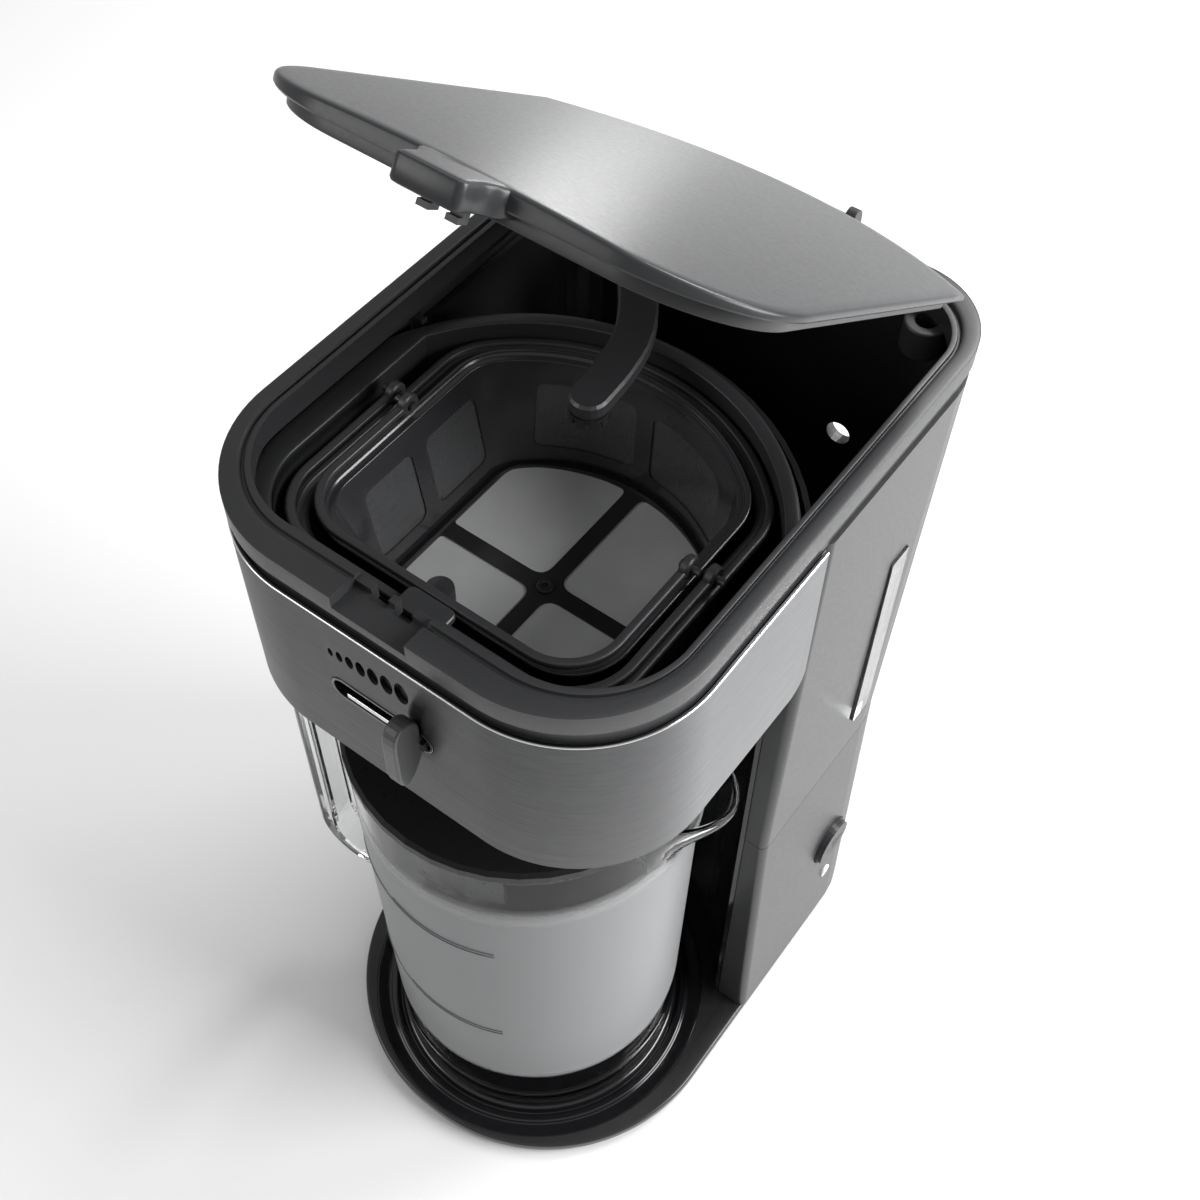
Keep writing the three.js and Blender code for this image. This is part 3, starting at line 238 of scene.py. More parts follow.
def swept(name, path, section, up=(0, 0, 1), sharp=32):
    """Carries a closed section of (sideways, up) along an open path of points, without twisting."""
    up = Vector(up)
    rings = []
    for i, point in enumerate(path):
        ahead = Vector(path[min(i + 1, len(path) - 1)]) - Vector(path[max(i - 1, 0)])
        side = ahead.normalized().cross(up).normalized()
        rings.append([tuple(Vector(point) + side * u + up * v) for u, v in section])
    return loft(name, rings, sharp=sharp)


def rod(name, start, end, radius, segments=32, bevel=0.0):
    """A round bar between two points, with a small chamfer."""
    start, end = Vector(start), Vector(end)
    along = (end - start).normalized()
    side = along.orthogonal().normalized()
    other = along.cross(side)
    length = (end - start).length
    stations = [(0, radius - bevel), (bevel, radius), (length - bevel, radius), (length, radius - bevel)]
    if bevel == 0:
        stations = [stations[0], stations[-1]]
    rings = []
    for distance, size in stations:
        ring = []
        for k in range(segments):
            angle = 2 * math.pi * k / segments
            outward = side * math.cos(angle) + other * math.sin(angle)
            ring.append(tuple(start + along * distance + outward * size))
        rings.append(ring)
    return loft(name, rings)


def block(name, x0, x1, y0, y1, z0, z1):
    """A plain box, used to cut other pieces or softened afterwards."""
    lower = [(x0, y0, z0), (x1, y0, z0), (x1, y1, z0), (x0, y1, z0)]
    upper = [(x, y, z1) for x, y, _ in lower]
    return loft(name, [lower, upper])


def boolean(obj, tools, operation="DIFFERENCE", sharp=32):
    """Cuts or joins with other meshes, applies it and removes them."""
    for tool in tools:
        step = obj.modifiers.new("step", "BOOLEAN")
        step.operation = operation
        step.solver = "EXACT"
        step.object = tool
    bpy.context.view_layer.update()
    evaluated = obj.evaluated_get(bpy.context.evaluated_depsgraph_get())
    mesh = bpy.data.meshes.new_from_object(evaluated)
    obj.modifiers.clear()
    obj.data = mesh
    mesh.name = obj.name
    for tool in tools:
        bpy.data.objects.remove(tool)
    shade(obj, sharp)
    return obj


def soften(obj, width, segments=2, angle=34):
    """Small rounded edges that catch the light."""
    bevel = obj.modifiers.new("edges", "BEVEL")
    bevel.width = width * MM
    bevel.segments = segments
    bevel.limit_method = "ANGLE"
    bevel.angle_limit = math.radians(angle)
    bevel.harden_normals = True
    bevel.miter_outer = "MITER_ARC"


def finish_piece(obj, material, body, slot, *nodes):
    obj.data.materials.clear()
    obj.data.materials.append(material)
    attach(obj, body)
    if nodes:
        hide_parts(*nodes)
    return obj


# ------------------------------------------------------------------ helpers: materials
class Look:
    """A Principled material with procedural detail in object space, where one unit is a metre."""

    def __init__(self, name, colour, roughness, metallic=0.0):
        self.material = bpy.data.materials.new(name)
        self.material.use_nodes = True
        self.tree = self.material.node_tree
        self.shader = self.tree.nodes["Principled BSDF"]
        self.shader.inputs["Base Color"].default_value = (*colour, 1)
        self.shader.inputs["Roughness"].default_value = roughness
        self.shader.inputs["Metallic"].default_value = metallic
        self.colour = colour
        self.place = self.node("ShaderNodeTexCoord").outputs["Object"]

    def node(self, kind, **settings):
        node = self.tree.nodes.new(kind)
        for key, value in settings.items():
            setattr(node, key, value)
        return node

    def link(self, output, socket):
        self.tree.links.new(output, socket)

    def stretched(self, scale):
        mapping = self.node("ShaderNodeMapping")
        mapping.inputs["Scale"].default_value = scale
        self.link(self.place, mapping.inputs["Vector"])
        return mapping.outputs["Vector"]

    def noise(self, scale, detail=3, vector=None):
        noise = self.node("ShaderNodeTexNoise")
        noise.inputs["Scale"].default_value = scale
        noise.inputs["Detail"].default_value = detail
        self.link(vector or self.place, noise.inputs["Vector"])
        return noise.outputs["Fac"]

    def spread(self, value, low, high, source=(0.3, 0.7)):
        ranged = self.node("ShaderNodeMapRange")
        ranged.inputs["From Min"].default_value = source[0]
        ranged.inputs["From Max"].default_value = source[1]
        ranged.inputs["To Min"].default_value = low
        ranged.inputs["To Max"].default_value = high
        self.link(value, ranged.inputs["Value"])
        return ranged.outputs["Result"]

    def tint(self, value, low, high):
        """Base colour between two multiples of the plain one."""
        mix = self.node("ShaderNodeMix", data_type="RGBA")
        mix.inputs["A"].default_value = (*[c * low for c in self.colour], 1)
        mix.inputs["B"].default_value = (*[c * high for c in self.colour], 1)
        self.link(self.spread(value, 0, 1), mix.inputs["Factor"])
        self.link(mix.outputs["Result"], self.shader.inputs["Base Color"])
        return mix.outputs["Result"]

    def rough(self, value, low, high):
        self.link(self.spread(value, low, high), self.shader.inputs["Roughness"])

    def bump(self, *layers):
        """Layers of (height, strength, distance in metres), stacked."""
        normal = None
        for height, strength, distance in layers:
            bump = self.node("ShaderNodeBump")
            bump.inputs["Strength"].default_value = strength
            bump.inputs["Distance"].default_value = distance
            self.link(height, bump.inputs["Height"])
            if normal:
                self.link(normal, bump.inputs["Normal"])
            normal = bump.outputs["Normal"]
        self.link(normal, self.shader.inputs["Normal"])


def satin_plastic(name, colour, roughness, grain=1.0, mirror=0.5):
    look = Look(name, colour, roughness)
    look.shader.inputs["Specular IOR Level"].default_value = mirror
    fine = look.noise(2600, 2)
    look.tint(look.noise(900, 4), 0.98, 1.02)
    look.rough(look.noise(700, 4), roughness - 0.02, roughness + 0.03)
    look.bump((fine, 0.1 * grain, 0.00004))
    return look.material


def gloss_plastic(name, colour, roughness):
    look = Look(name, colour, roughness)
    look.rough(look.noise(45, 6), roughness * 0.6, roughness * 2.0)
    look.bump((look.noise(900, 2), 0.02, 0.00004))
    look.shader.inputs["Coat Weight"].default_value = 0.4
    look.shader.inputs["Coat Roughness"].default_value = 0.05
    return look.material


def brushed_steel(name, colour, roughness):
    """Fine horizontal brush lines round the band, and a painted reflection: the base colour is made brighter
    towards the rear of the band.
    """
    look = Look(name, colour, roughness, 1.0)
    lines = look.noise(1.0, 7, look.stretched((130, 130, 11000)))
    broad = look.noise(1.0, 3, look.stretched((25, 25, 2500)))
    tinted = look.tint(lines, 0.78, 1.22)
    split = look.node("ShaderNodeSeparateXYZ")
    look.link(look.place, split.inputs["Vector"])
    painted_sheen = look.node("ShaderNodeVectorMath", operation="SCALE")
    look.link(tinted, painted_sheen.inputs["Vector"])
    # Painted reflection: the base colour is scaled from 1.1 at the front face up to 1.9 towards the rear.
    look.link(look.spread(split.outputs["Y"], 1.1, 1.9, (-0.094, -0.052)), painted_sheen.inputs["Scale"])
    look.link(painted_sheen.outputs["Vector"], look.shader.inputs["Base Color"])
    look.rough(broad, roughness - 0.04, roughness + 0.06)
    look.bump((lines, 0.1, 0.00003))
    around = look.node("ShaderNodeTangent", direction_type="RADIAL", axis="Z")
    look.link(around.outputs["Tangent"], look.shader.inputs["Tangent"])
    look.shader.inputs["Anisotropic"].default_value = 0.85
    look.shader.inputs["Anisotropic Rotation"].default_value = 0.25
    return look.material


def metal(name, colour, roughness):
    look = Look(name, colour, roughness, 1.0)
    look.rough(look.noise(260, 4), roughness * 0.7, roughness * 1.5)
    look.bump((look.noise(1200, 2), 0.04, 0.00004))
    return look.material


def rubber_like(name, colour, roughness):
    look = Look(name, colour, roughness)
    look.tint(look.noise(120, 4), 0.85, 1.15)
    look.rough(look.noise(300, 3), roughness - 0.08, roughness + 0.06)
    look.bump((look.noise(1500, 3), 0.2, 0.0001))
    return look.material


def clear_plastic(name, colour, roughness):
    look = Look(name, colour, roughness)
    look.shader.inputs["Transmission Weight"].default_value = 1.0
    look.shader.inputs["IOR"].default_value = 1.49
    look.rough(look.noise(90, 4), roughness * 0.6, roughness * 1.8)
    look.bump((look.noise(60, 3), 0.05, 0.0003))
    return look.material


def pitcher_plastic(name, colour, roughness):
    """Frosted from just above the foot to the collar, clear below and above."""
    clear = (0.9, 0.905, 0.91)
    look = Look(name, clear, roughness)
    split = look.node("ShaderNodeSeparateXYZ")
    look.link(look.place, split.inputs["Vector"])
    foot = look.spread(split.outputs["Z"], 0.0, 1.0, (0.0435, 0.0475))
    collar = look.spread(split.outputs["Z"], 0.0, 1.0, (0.186, 0.197))
    frost = look.node("ShaderNodeMath", operation="SUBTRACT", use_clamp=True)
    look.link(foot, frost.inputs[0])
    look.link(collar, frost.inputs[1])
    amount = frost.outputs["Value"]
    mix = look.node("ShaderNodeMix", data_type="RGBA")
    mix.inputs["A"].default_value = (*clear, 1)
    mix.inputs["B"].default_value = (*colour, 1)
    look.link(amount, mix.inputs["Factor"])
    look.link(mix.outputs["Result"], look.shader.inputs["Base Color"])
    look.link(look.spread(amount, 1.0, 0.35, (0, 1)), look.shader.inputs["Transmission Weight"])
    look.link(look.spread(amount, 0.03, roughness, (0, 1)), look.shader.inputs["Roughness"])
    look.shader.inputs["IOR"].default_value = 1.12
    look.bump((look.noise(14, 2), 0.04, 0.0008))
    return look.material


def dull_plastic(name, colour, roughness, mirror=0.16):
    """Moulded black that mirrors little of the room."""
    look = Look(name, colour, roughness)
    look.rough(look.noise(300, 4), roughness - 0.04, roughness + 0.06)
    look.bump((look.noise(1800, 2), 0.08, 0.00004))
    look.shader.inputs["Specular IOR Level"].default_value = mirror
    return look.material


def woven_mesh(name, colour, roughness):
    """A fine square weave."""
    look = Look(name, colour, roughness)
    waves = []
    for direction in ("X", "Y"):
        wave = look.node("ShaderNodeTexWave", wave_type="BANDS", bands_direction=direction)
        wave.inputs["Scale"].default_value = 520
        look.link(look.place, wave.inputs["Vector"])
        waves.append(wave.outputs["Fac"])
    weave = look.node("ShaderNodeMath", operation="MULTIPLY")
    look.link(waves[0], weave.inputs[0])
    look.link(waves[1], weave.inputs[1])
    cloud = look.noise(22, 3)
    look.tint(cloud, 0.86, 1.12)
    look.rough(look.noise(80, 3), roughness - 0.08, roughness + 0.08)
    look.bump((weave.outputs["Value"], 0.35, 0.0001), (look.noise(35, 2), 0.25, 0.0012))
    return look.material


def make_materials():
    return {
        "charcoal_plastic": satin_plastic("charcoal_plastic", (0.024, 0.0245, 0.026), 0.4),
        "rim_plastic": satin_plastic("rim_plastic", (0.024, 0.0245, 0.026), 0.4),
        "lid_plastic": satin_plastic("lid_plastic", (0.03, 0.031, 0.033), 0.3, 0.6, 0.34),
        "shell_plastic": satin_plastic("shell_plastic", (0.028, 0.0285, 0.03), 0.34, 0.8, 0.36),
        "lever_plastic": satin_plastic("lever_plastic", (0.052, 0.053, 0.055), 0.36),
        "inner_plastic": satin_plastic("inner_plastic", (0.024, 0.024, 0.026), 0.2, 0.3),
        "base_plastic": satin_plastic("base_plastic", (0.016, 0.016, 0.017), 0.24, 0.4),
        # Painted shade: a near-black material with no reflection, for the strip that stands for the shadow in
        # the column's seam.
        "painted_seam_shade": dull_plastic("painted_seam_shade", (0.018, 0.018, 0.019), 0.6, 0.0),
        "dull_black": dull_plastic("dull_black", (0.01, 0.01, 0.011), 0.3),
        "black_plastic": satin_plastic("black_plastic", (0.012, 0.012, 0.013), 0.42),
        "gloss_black": gloss_plastic("gloss_black", (0.008, 0.008, 0.009), 0.09),
        "steel_band": brushed_steel("steel_band", (0.085, 0.086, 0.088), 0.32),
        "polished_metal": metal("polished_metal", (0.78, 0.78, 0.79), 0.1),
        "aluminium": metal("aluminium", (0.62, 0.63, 0.64), 0.32),
        "frosted_plastic": pitcher_plastic("frosted_plastic", (0.34, 0.345, 0.35), 0.3),
        "clear_plastic": clear_plastic("clear_plastic", (0.93, 0.94, 0.94), 0.05),
        "line_plastic": gloss_plastic("line_plastic", (0.1, 0.1, 0.105), 0.2),
        "filter_mesh": woven_mesh("filter_mesh", (0.58, 0.585, 0.59), 0.4),
        "wall_mesh": woven_mesh("wall_mesh", (0.05, 0.051, 0.053), 0.28),
        "rubber": rubber_like("rubber", (0.014, 0.014, 0.015), 0.75),
        "silicone": rubber_like("silicone", (0.6, 0.58, 0.55), 0.5),
        "lamp_lens": gloss_plastic("lamp_lens", (0.75, 0.74, 0.72), 0.2),
    }


# ------------------------------------------------------------------ camera, light and floor
def add_camera():
    """Camera above the front right corner; pitch is downwards and yaw turns it round from the front."""
    yaw, pitch, roll = (math.radians(CAMERA[key]) for key in ("yaw", "pitch", "roll"))
    ahead = Vector((-math.sin(yaw) * math.cos(pitch), math.cos(yaw) * math.cos(pitch), -math.sin(pitch)))
    right = Vector((math.cos(yaw), math.sin(yaw), 0))
    up = right.cross(ahead)
    across = math.cos(roll) * right + math.sin(roll) * up
    upward = -math.sin(roll) * right + math.cos(roll) * up
    data = bpy.data.cameras.new("camera")
    data.sensor_width = 36
    data.lens = CAMERA["lens"]
    data.clip_end = 50
    camera = bpy.data.objects.new("camera", data)
    turn = Matrix((across, upward, -ahead)).transposed().to_4x4()
    camera.matrix_world = Matrix.Translation(at(*CAMERA["place"])) @ turn
    bpy.context.collection.objects.link(camera)
    bpy.context.scene.camera = camera


def add_light(name, place, target, size, power, colour=(1, 1, 1)):
    data = bpy.data.lights.new(name, "AREA")
    data.shape = "RECTANGLE"
    data.size, data.size_y = size
    data.energy = power
    data.color = colour
    light = bpy.data.objects.new(name, data)
    light.location = place
    light.rotation_euler = (Vector(target) - Vector(place)).to_track_quat("-Z", "Y").to_euler()
    light.visible_camera = False
    bpy.context.collection.objects.link(light)


def add_stage():
    mesh = bpy.data.meshes.new("floor")
    reach = 6.0
    corners = [(-reach, -reach, 0), (reach, -reach, 0), (reach, reach, 0), (-reach, reach, 0)]
    mesh.from_pydata(corners, [], [(0, 1, 2, 3)])
    floor = bpy.data.objects.new("floor", mesh)
    bpy.context.collection.objects.link(floor)
    paper = Look("pale_floor", (0.74, 0.74, 0.74), 0.9)
    paper.tint(paper.noise(3, 3), 0.99, 1.01)
    paper.bump((paper.noise(400, 2), 0.02, 0.0001))
    mesh.materials.append(paper.material)

    world = bpy.data.worlds.new("studio")
    bpy.context.scene.world = world
    world.use_nodes = True
    background = world.node_tree.nodes["Background"]
    background.inputs["Color"].default_value = (1, 1, 1, 1)
    background.inputs["Strength"].default_value = 0.42
    bpy.context.scene.view_settings.view_transform = "Standard"

    middle = (0.0, 0.0, 0.25)
    add_light("key_right", (1.2, 0.5, 0.9), middle, (0.9, 0.9), 34)
    add_light("back_top", (0.25, 1.0, 1.3), (0, 0, 0.4), (0.9, 0.6), 22)
    add_light("front_left", (-0.9, -1.0, 1.0), middle, (0.7, 0.7), 6)
    add_light("lid_glow", (-0.62, 1.2, 0.14), (0.0, 0.1, 0.38), (0.14, 0.2), 0.75)


# ------------------------------------------------------------------ pieces
def make_rim(looks):
    """Top rim: rounded outer edge, flat top, a groove and a thin inner lip."""
    section = rounded([
        (0.16, 326.5, 0), (0.16, 331.6, 0.2), (0, 332.2, 0.4), (0, 340, 1.6),
        (0.62, 340, 0.5), (0.68, 338.4, 0.3), (0.76, 338.4, 0.3), (0.8, 339.4, 0.4),
        (1.0, 339.4, 0.7), (1.0, 332, 0.3), (0.61, 332, 0), (0.61, 326.5, 0),
    ], 0.3)
    rings = []
    for t, z in section:
        shape = between(RIM_OUT, RIM_IN, t)
        rings.append([(x, y, z) for x, y in plate(**shape)])
    rim = loft("rim_ring", rings, loop=True)
    half, above = NOTCH["half"], 350
    cutters = [
        block("tool", -half, half, -70, -51, NOTCH["floor"], above),
        block("tool", -half, half, -52, -47, NOTCH["wall_top"], above),
    ]
    cutters += [block("tool", x0, x1, -52.4, -44, 320, above) for x0, x1 in LATCH_SLOTS]
    cutters.append(block("tool", -17.4, 17.4, 138.7, 160, 335.5, above))
    boolean(rim, cutters)
    soften(rim, 0.3)
    finish_piece(rim, looks["rim_plastic"], "body", "rim_plastic", "top_rim")

    boss = turned("rim_boss", rounded([(3.4, 322), (7, 322), (7, 333), (3.4, 333)], 0.8), 48, (56, 127.5))
    finish_piece(boss, looks["rim_plastic"], "body", "rim_plastic")
    for side in (-1, 1):
        x = side * (HINGE["half"] - HINGE["ear"] / 2)
        crest = HINGE["top"] - HINGE["radius"] if side > 0 else HINGE["z"]
        outline = [(138, 330), (145.7, 330)]
        outline += arc(HINGE["y"], crest, HINGE["radius"], 0, 180, 16)
        outline += [(138, 338)]
        left = [(x - HINGE["ear"] / 2, y, z) for y, z in outline]
        right = [(x + HINGE["ear"] / 2, y, z) for y, z in outline]
        ear = loft(f"hinge_ear_{'left' if side < 0 else 'right'}", [left, right])
        soften(ear, 0.3)
        finish_piece(ear, looks["rim_plastic"], "body", "rim_plastic")


def lid_plan(inset=0.0):
    """Plan of the closed lid, drawn in by inset: points anticlockwise from the front."""
    half, rise = LID["half"], LID["back"] - LID["corner"]
    radius = (half * half + rise * rise) / (2 * rise)
    centre = LID["back"] - radius
    half -= inset
    start = math.degrees(math.acos(half / (radius - inset)))
    front = LID["front"] + inset
    r_front = LID["r_front"] - inset
    runs = [
        arc(half - r_front, front + r_front, r_front, -90, 0, 24),
        arc(0, centre, radius - inset, start, 180 - start, 60),
        arc(-half + r_front, front + r_front, r_front, 180, 270, 24),
    ]
    return joined(runs, 12)


def open_lid(obj):
    """Swings a piece drawn closed to the angle the lid stands open at."""
    pivot = at(0, HINGE["y"], HINGE["z"])
    turn = Matrix.Rotation(-math.radians(HINGE["open"]), 4, "X")
    obj.data.transform(Matrix.Translation(pivot) @ turn @ Matrix.Translation(-pivot))


def crowned(x):
    """Height of the closed lid's top face, which is highest along its middle."""
    return LID["bottom"] + LID["edge"] + LID["crown"] * (1 - (x / LID["half"]) ** 2)


def make_lid(looks):
    """Crowned lid with its finger tab and hinge arm, and the skirt and panel under it."""
    rings = []
    low = LID["bottom"]
    for inset, drop in ((6, None), (1.4, None), (0.5, 0.15), (0, 0.7)):
        level = low if drop is None else low + drop
        rings.append([(x, y, level) for x, y in lid_plan(inset)])
    for inset, drop in ((0, 0.9), (0.18, 0.45), (0.5, 0.15), (1.1, 0.0), (4, 0), (12, 0), (22, 0), (32, 0)):
        rings.append([(x, y, crowned(x) - drop) for x, y in lid_plan(inset)])
    plate_ring = lid_plan(32)
    middle = (0, 45)
    for keep in (0.7, 0.4, 0.12):
        ring = []
        for x, y in plate_ring:
            x = middle[0] + (x - middle[0]) * keep
            ring.append((x, middle[1] + (y - middle[1]) * keep, crowned(x)))
        rings.append(ring)
    shell = loft("lid_top", rings, sharp=50)

    tab = make_tab()
    half = HINGE["half"] - HINGE["ear"] - 0.4
    arm = block("tool", -half, half, LID["back"] - 8, HINGE["y"], low + 0.1, HINGE["z"] + HINGE["radius"])
    barrel = rod("tool", (-half, HINGE["y"], HINGE["z"]), (half, HINGE["y"], HINGE["z"]), HINGE["radius"], 40)
    boolean(shell, [tab, arm, barrel], "UNION", sharp=38)
    pin_hole = rod("tool", (-40, HINGE["y"], HINGE["z"]), (40, HINGE["y"], HINGE["z"]), 1.6, 24)
    boolean(shell, [pin_hole], sharp=38)
    open_lid(shell)
    finish_piece(shell, looks["lid_plastic"], "lid", "rim_plastic", "lid_shell")

    section = rounded([(0, 336.6), (0, 340), (28, 340), (28, 338.6), (2, 338.6), (2, 336.6)], 0.6, 3)
    rings = []
    for inset, z in section:
        rings.append([(x, y, z) for x, y in lid_plan(4.2 + inset)])
    skirt = loft("lid_skirt", rings, loop=True)
    panel = loft("tool", [[(x, y, z) for x, y in lid_plan(30)] for z in (338.8, 339.9)])
    boolean(skirt, [panel], "UNION")
    open_lid(skirt)
    finish_piece(skirt, looks["charcoal_plastic"], "lid", "charcoal_plastic", "lid_liner")


def make_tab():
    """Finger tab: flares from the lid's front edge, with a rounded nose."""
    tip, root = TAB["tip"], TAB["root"] + 0.8
    front = LID["front"]
    half_plan = [(tip, TAB["nose"], 2.2), (tip, front - 4.5, 3), (root, front - 0.2, 3), (root, front + 5, 0)]
    plan = [(-x, y, r) for x, y, r in half_plan[::-1]] + half_plan
    rings = []
    profile = [(0.9, 338.4), (0.3, 338.7), (0, 339.4), (0, 344.3), (0.25, 344.9), (0.9, 345.25)]
    for inset, z in profile + [(1.5, 345.32), (2.5, 345.34), (4, 345.34)]:
        scale = 1 - inset / tip
        outline = rounded([(x * scale, y + (inset if y < front - 6 else 0), r) for x, y, r in plan], 1)
        rings.append([(x, y, z) for x, y in outline])
    return loft("tool", rings)


def make_band(looks):
    """Brushed sheet round the head, with a rolled bright top edge."""
    half, front, radius = STEEL["half"], STEEL["front"], STEEL["r_front"]
    rear, thick = STEEL["rear"], STEEL["thick"]
    right = [(half, rear - (rear - front - radius) * i / 8) for i in range(8)]
    path = right + arc(half - radius, front + radius, radius, 0, -90, 40)
    across = half - radius
    path += [(across - 2 * across * i / 10, front) for i in range(1, 10)]
    path += arc(-half + radius, front + radius, radius, 270, 180, 40)
    path += [(-x, y) for x, y in right[::-1]]
    bottom, top = STEEL["bottom"], STEEL["top"]
    section = rounded([(0, bottom, 0.4), (0, top, 0.5), (-thick, top, 0.3), (-thick, bottom, 0.3)], 0.3)
    rings = []
    outward = []
    for i, (x, y) in enumerate(path):
        ahead = Vector(path[min(i + 1, len(path) - 1)]) - Vector(path[max(i - 1, 0)])
        out = Vector((-ahead.y, ahead.x)).normalized()
        if out.dot(Vector((x, y - 10))) < 0:
            out = -out
        outward += [x, y, out]
        rings.append([(x + out.x * u, y + out.y * u, z) for u, z in section])
    band = loft("steel_wrap", rings)
    tools = []
    first, last, spread = DOTS["first"], DOTS["last"], DOTS["spread"]
    for i in range(DOTS["count"]):
        part = i / (DOTS["count"] - 1)
        x = first + (last - first) * part * (1 - spread + spread * part)
        z = DOTS["low"] + DOTS["climb"] * part
        wide, tall = 0.9 + 1.5 * part, 1.7 + 2.9 * part
        oval = [(x + wide * u, z + tall * v) for u, v in arc(0, 0, 1, 0, 351, 39)]
        tools.append(loft("tool", [[(px, y, pz) for px, pz in oval] for y in (-70, -50)]))
    tools.append(slot_tool(0.3))
    for side in (-1, 1):
        tools.append(rear_corner_tool(side))
    boolean(band, tools)
    finish_piece(band, looks["steel_band"], "body", "steel_band", "steel_band")
    bead_section = arc(-0.25, top - 0.1, 0.36, 0, 345, 14)
    rings = []
    for x, y, out in zip(*[iter(outward)] * 3):
        rings.append([(x + out.x * u, y + out.y * u, z) for u, z in bead_section])
    bead = loft("steel_bead", rings)
    finish_piece(bead, looks["polished_metal"], "body", "steel_band")


def slot_outline(grow):
    """Outline of the lever's slot seen from the front, made larger by grow."""
    radius = (SLOT["z1"] - SLOT["z0"]) / 2
    z = (SLOT["z0"] + SLOT["z1"]) / 2
    right_end = arc(SLOT["x1"] - radius, z, radius + grow, -90, 90, 20)
    left_end = arc(SLOT["x0"] + radius, z, radius + grow, 90, 270, 20)
    return right_end + left_end


def slot_tool(grow, y0=-70, y1=-50):
    outline = slot_outline(grow)
    return loft("tool", [[(x, y, z) for x, z in outline] for y in (y0, y1)])


def rear_corner_tool(side):
    """What is cut away to round the band's lower rear corner."""
    rear, bottom, radius = STEEL["rear"], STEEL["bottom"], 9
    outline = [(rear + 3, bottom - 3), (rear + 3, bottom + radius)]
    outline += arc(rear - radius, bottom + radius, radius, 0, -90, 16)
    outline += [(rear - radius, bottom - 3)]
    x0, x1 = sorted((side * 60, side * 90))
    return loft("tool", [[(x, y, z) for y, z in outline] for x in (x0, x1)])


def make_bezel(looks):
    """Gloss ring round the lever's slot, and the bright lip seen inside it."""
    y0, y1 = -60.9, -55.6
    rings = []
    for grow, y in rounded([(0.1, y0), (0.1, y1), (-0.9, y1), (-0.9, y0)], 0.3, 3):
        rings.append([(x, y, z) for x, z in slot_outline(grow)])
    bezel = loft("slot_trim", rings, loop=True)
    finish_piece(bezel, looks["gloss_black"], "body", "polished_metal", "slot_bezel")
    lip = block("slot_lip", -13.5, 15, -60.6, -57.2, 292.2, 294.5)
    soften(lip, 0.4)
    finish_piece(lip, looks["polished_metal"], "body", "polished_metal")


def make_well(looks):
    """Fixed funnel under the basket, with a flange that fills the gap up to the rim."""
    section = rounded([
        (0, 261.2, 3), (0, 323.4, 1), (-1, 323.4, 0.5), (-1, 325.9, 0.8), (2.2, 325.9, 0.8), (2.2, 263.6, 3),
    ], 0.8)
    rings = []
    for inset, z in section:
        if inset < -0.01:
            shape = between(WELL, WELL_FLANGE, min(1.0, -inset))
        else:
            shape = shrunk(WELL, inset)
        rings.append([(x, y, z) for x, y in d_plan(shape)])
    for inset, z in ((20, 263.6), (44, 263.6), (44, 261.2), (20, 261.2)):
        shape = shrunk(WELL, inset)
        rings.append([(x, y, z) for x, y in d_plan(shape)])
    well = loft("well_cup", rings, loop=True)
    finish_piece(well, looks["charcoal_plastic"], "body", "charcoal_plastic", "brew_well")


def cup_ring(shape, cup, inset, z):
    """The plan of a cup drawn in by inset, smaller the lower it lies."""
    down = max(0.0, (cup["high"] - z) / (cup["high"] - cup["low"]))
    size = 1 + (cup["taper"] - 1) * down
    middle = cup["middle"]
    return [(x * size, middle + (y - middle) * size, z) for x, y in d_plan(shrunk(shape, inset))]


def make_basket(looks):
    """Outer basket with a rolled rim and the drip hole in its floor."""
    low, high = BASKET_CUP["low"], BASKET_CUP["high"]
    section = rounded([
        (3.2, low, 2), (3.2, 316, 0.4), (2.2, 317.4, 0.4), (0, 317.8, 0.8), (0, high, 1.2), (2.4, high, 0.5),
        (2.9, 319.4, 0.4), (3.8, 319.4, 0.4), (5, 318.4, 0.5), (5, 271, 2.5),
    ], 0.5)
    section += [(16, 270.2), (16, low)]
    wall = loft("basket_wall", [cup_ring(BASKET, BASKET_CUP, inset, z) for inset, z in section], loop=True)
    floor = loft("tool", [cup_ring(BASKET, BASKET_CUP, 15.5, z) for z in (low + 0.1, 270.1)])
    boolean(wall, [floor], "UNION")
    boolean(wall, [rod("tool", (0, 0, 260), (0, 0, 276), 6, 40)])
    finish_piece(wall, looks["charcoal_plastic"], "basket", "charcoal_plastic", "brew_basket")


def pane_plans():
    """Four floor panes with round corners, left between the ribs of the cross."""
    half, front, reach, corner = 38.6, -18.5, 58, 10
    centre_x = half - corner
    centre_y = math.sqrt((reach - corner) ** 2 - centre_x ** 2)
    turn = math.degrees(math.atan2(centre_y, centre_x))
    near = math.degrees(math.acos((RIB_HALF + 7) / reach))
    curve = arc(centre_x, centre_y, corner, 0, turn, 6)[:-1] + arc(0, 0, reach, turn, near, 14)
    back = [(RIB_HALF, HUB_Y + RIB_HALF, 5), (half, HUB_Y + RIB_HALF, 2)]
    back += [(x, y, 0) for x, y in curve] + [(RIB_HALF, math.sqrt(reach ** 2 - RIB_HALF ** 2), 4)]
    low = [(half, front, 6), (half, HUB_Y - RIB_HALF, 2)]
    low += [(RIB_HALF, HUB_Y - RIB_HALF, 5), (RIB_HALF, front, 2)]
    plans = []
    for side in (-1, 1):
        for corners in (back, low):
            plans.append([(side * x, y) for x, y in rounded(corners, 0, 6)])
    return plans


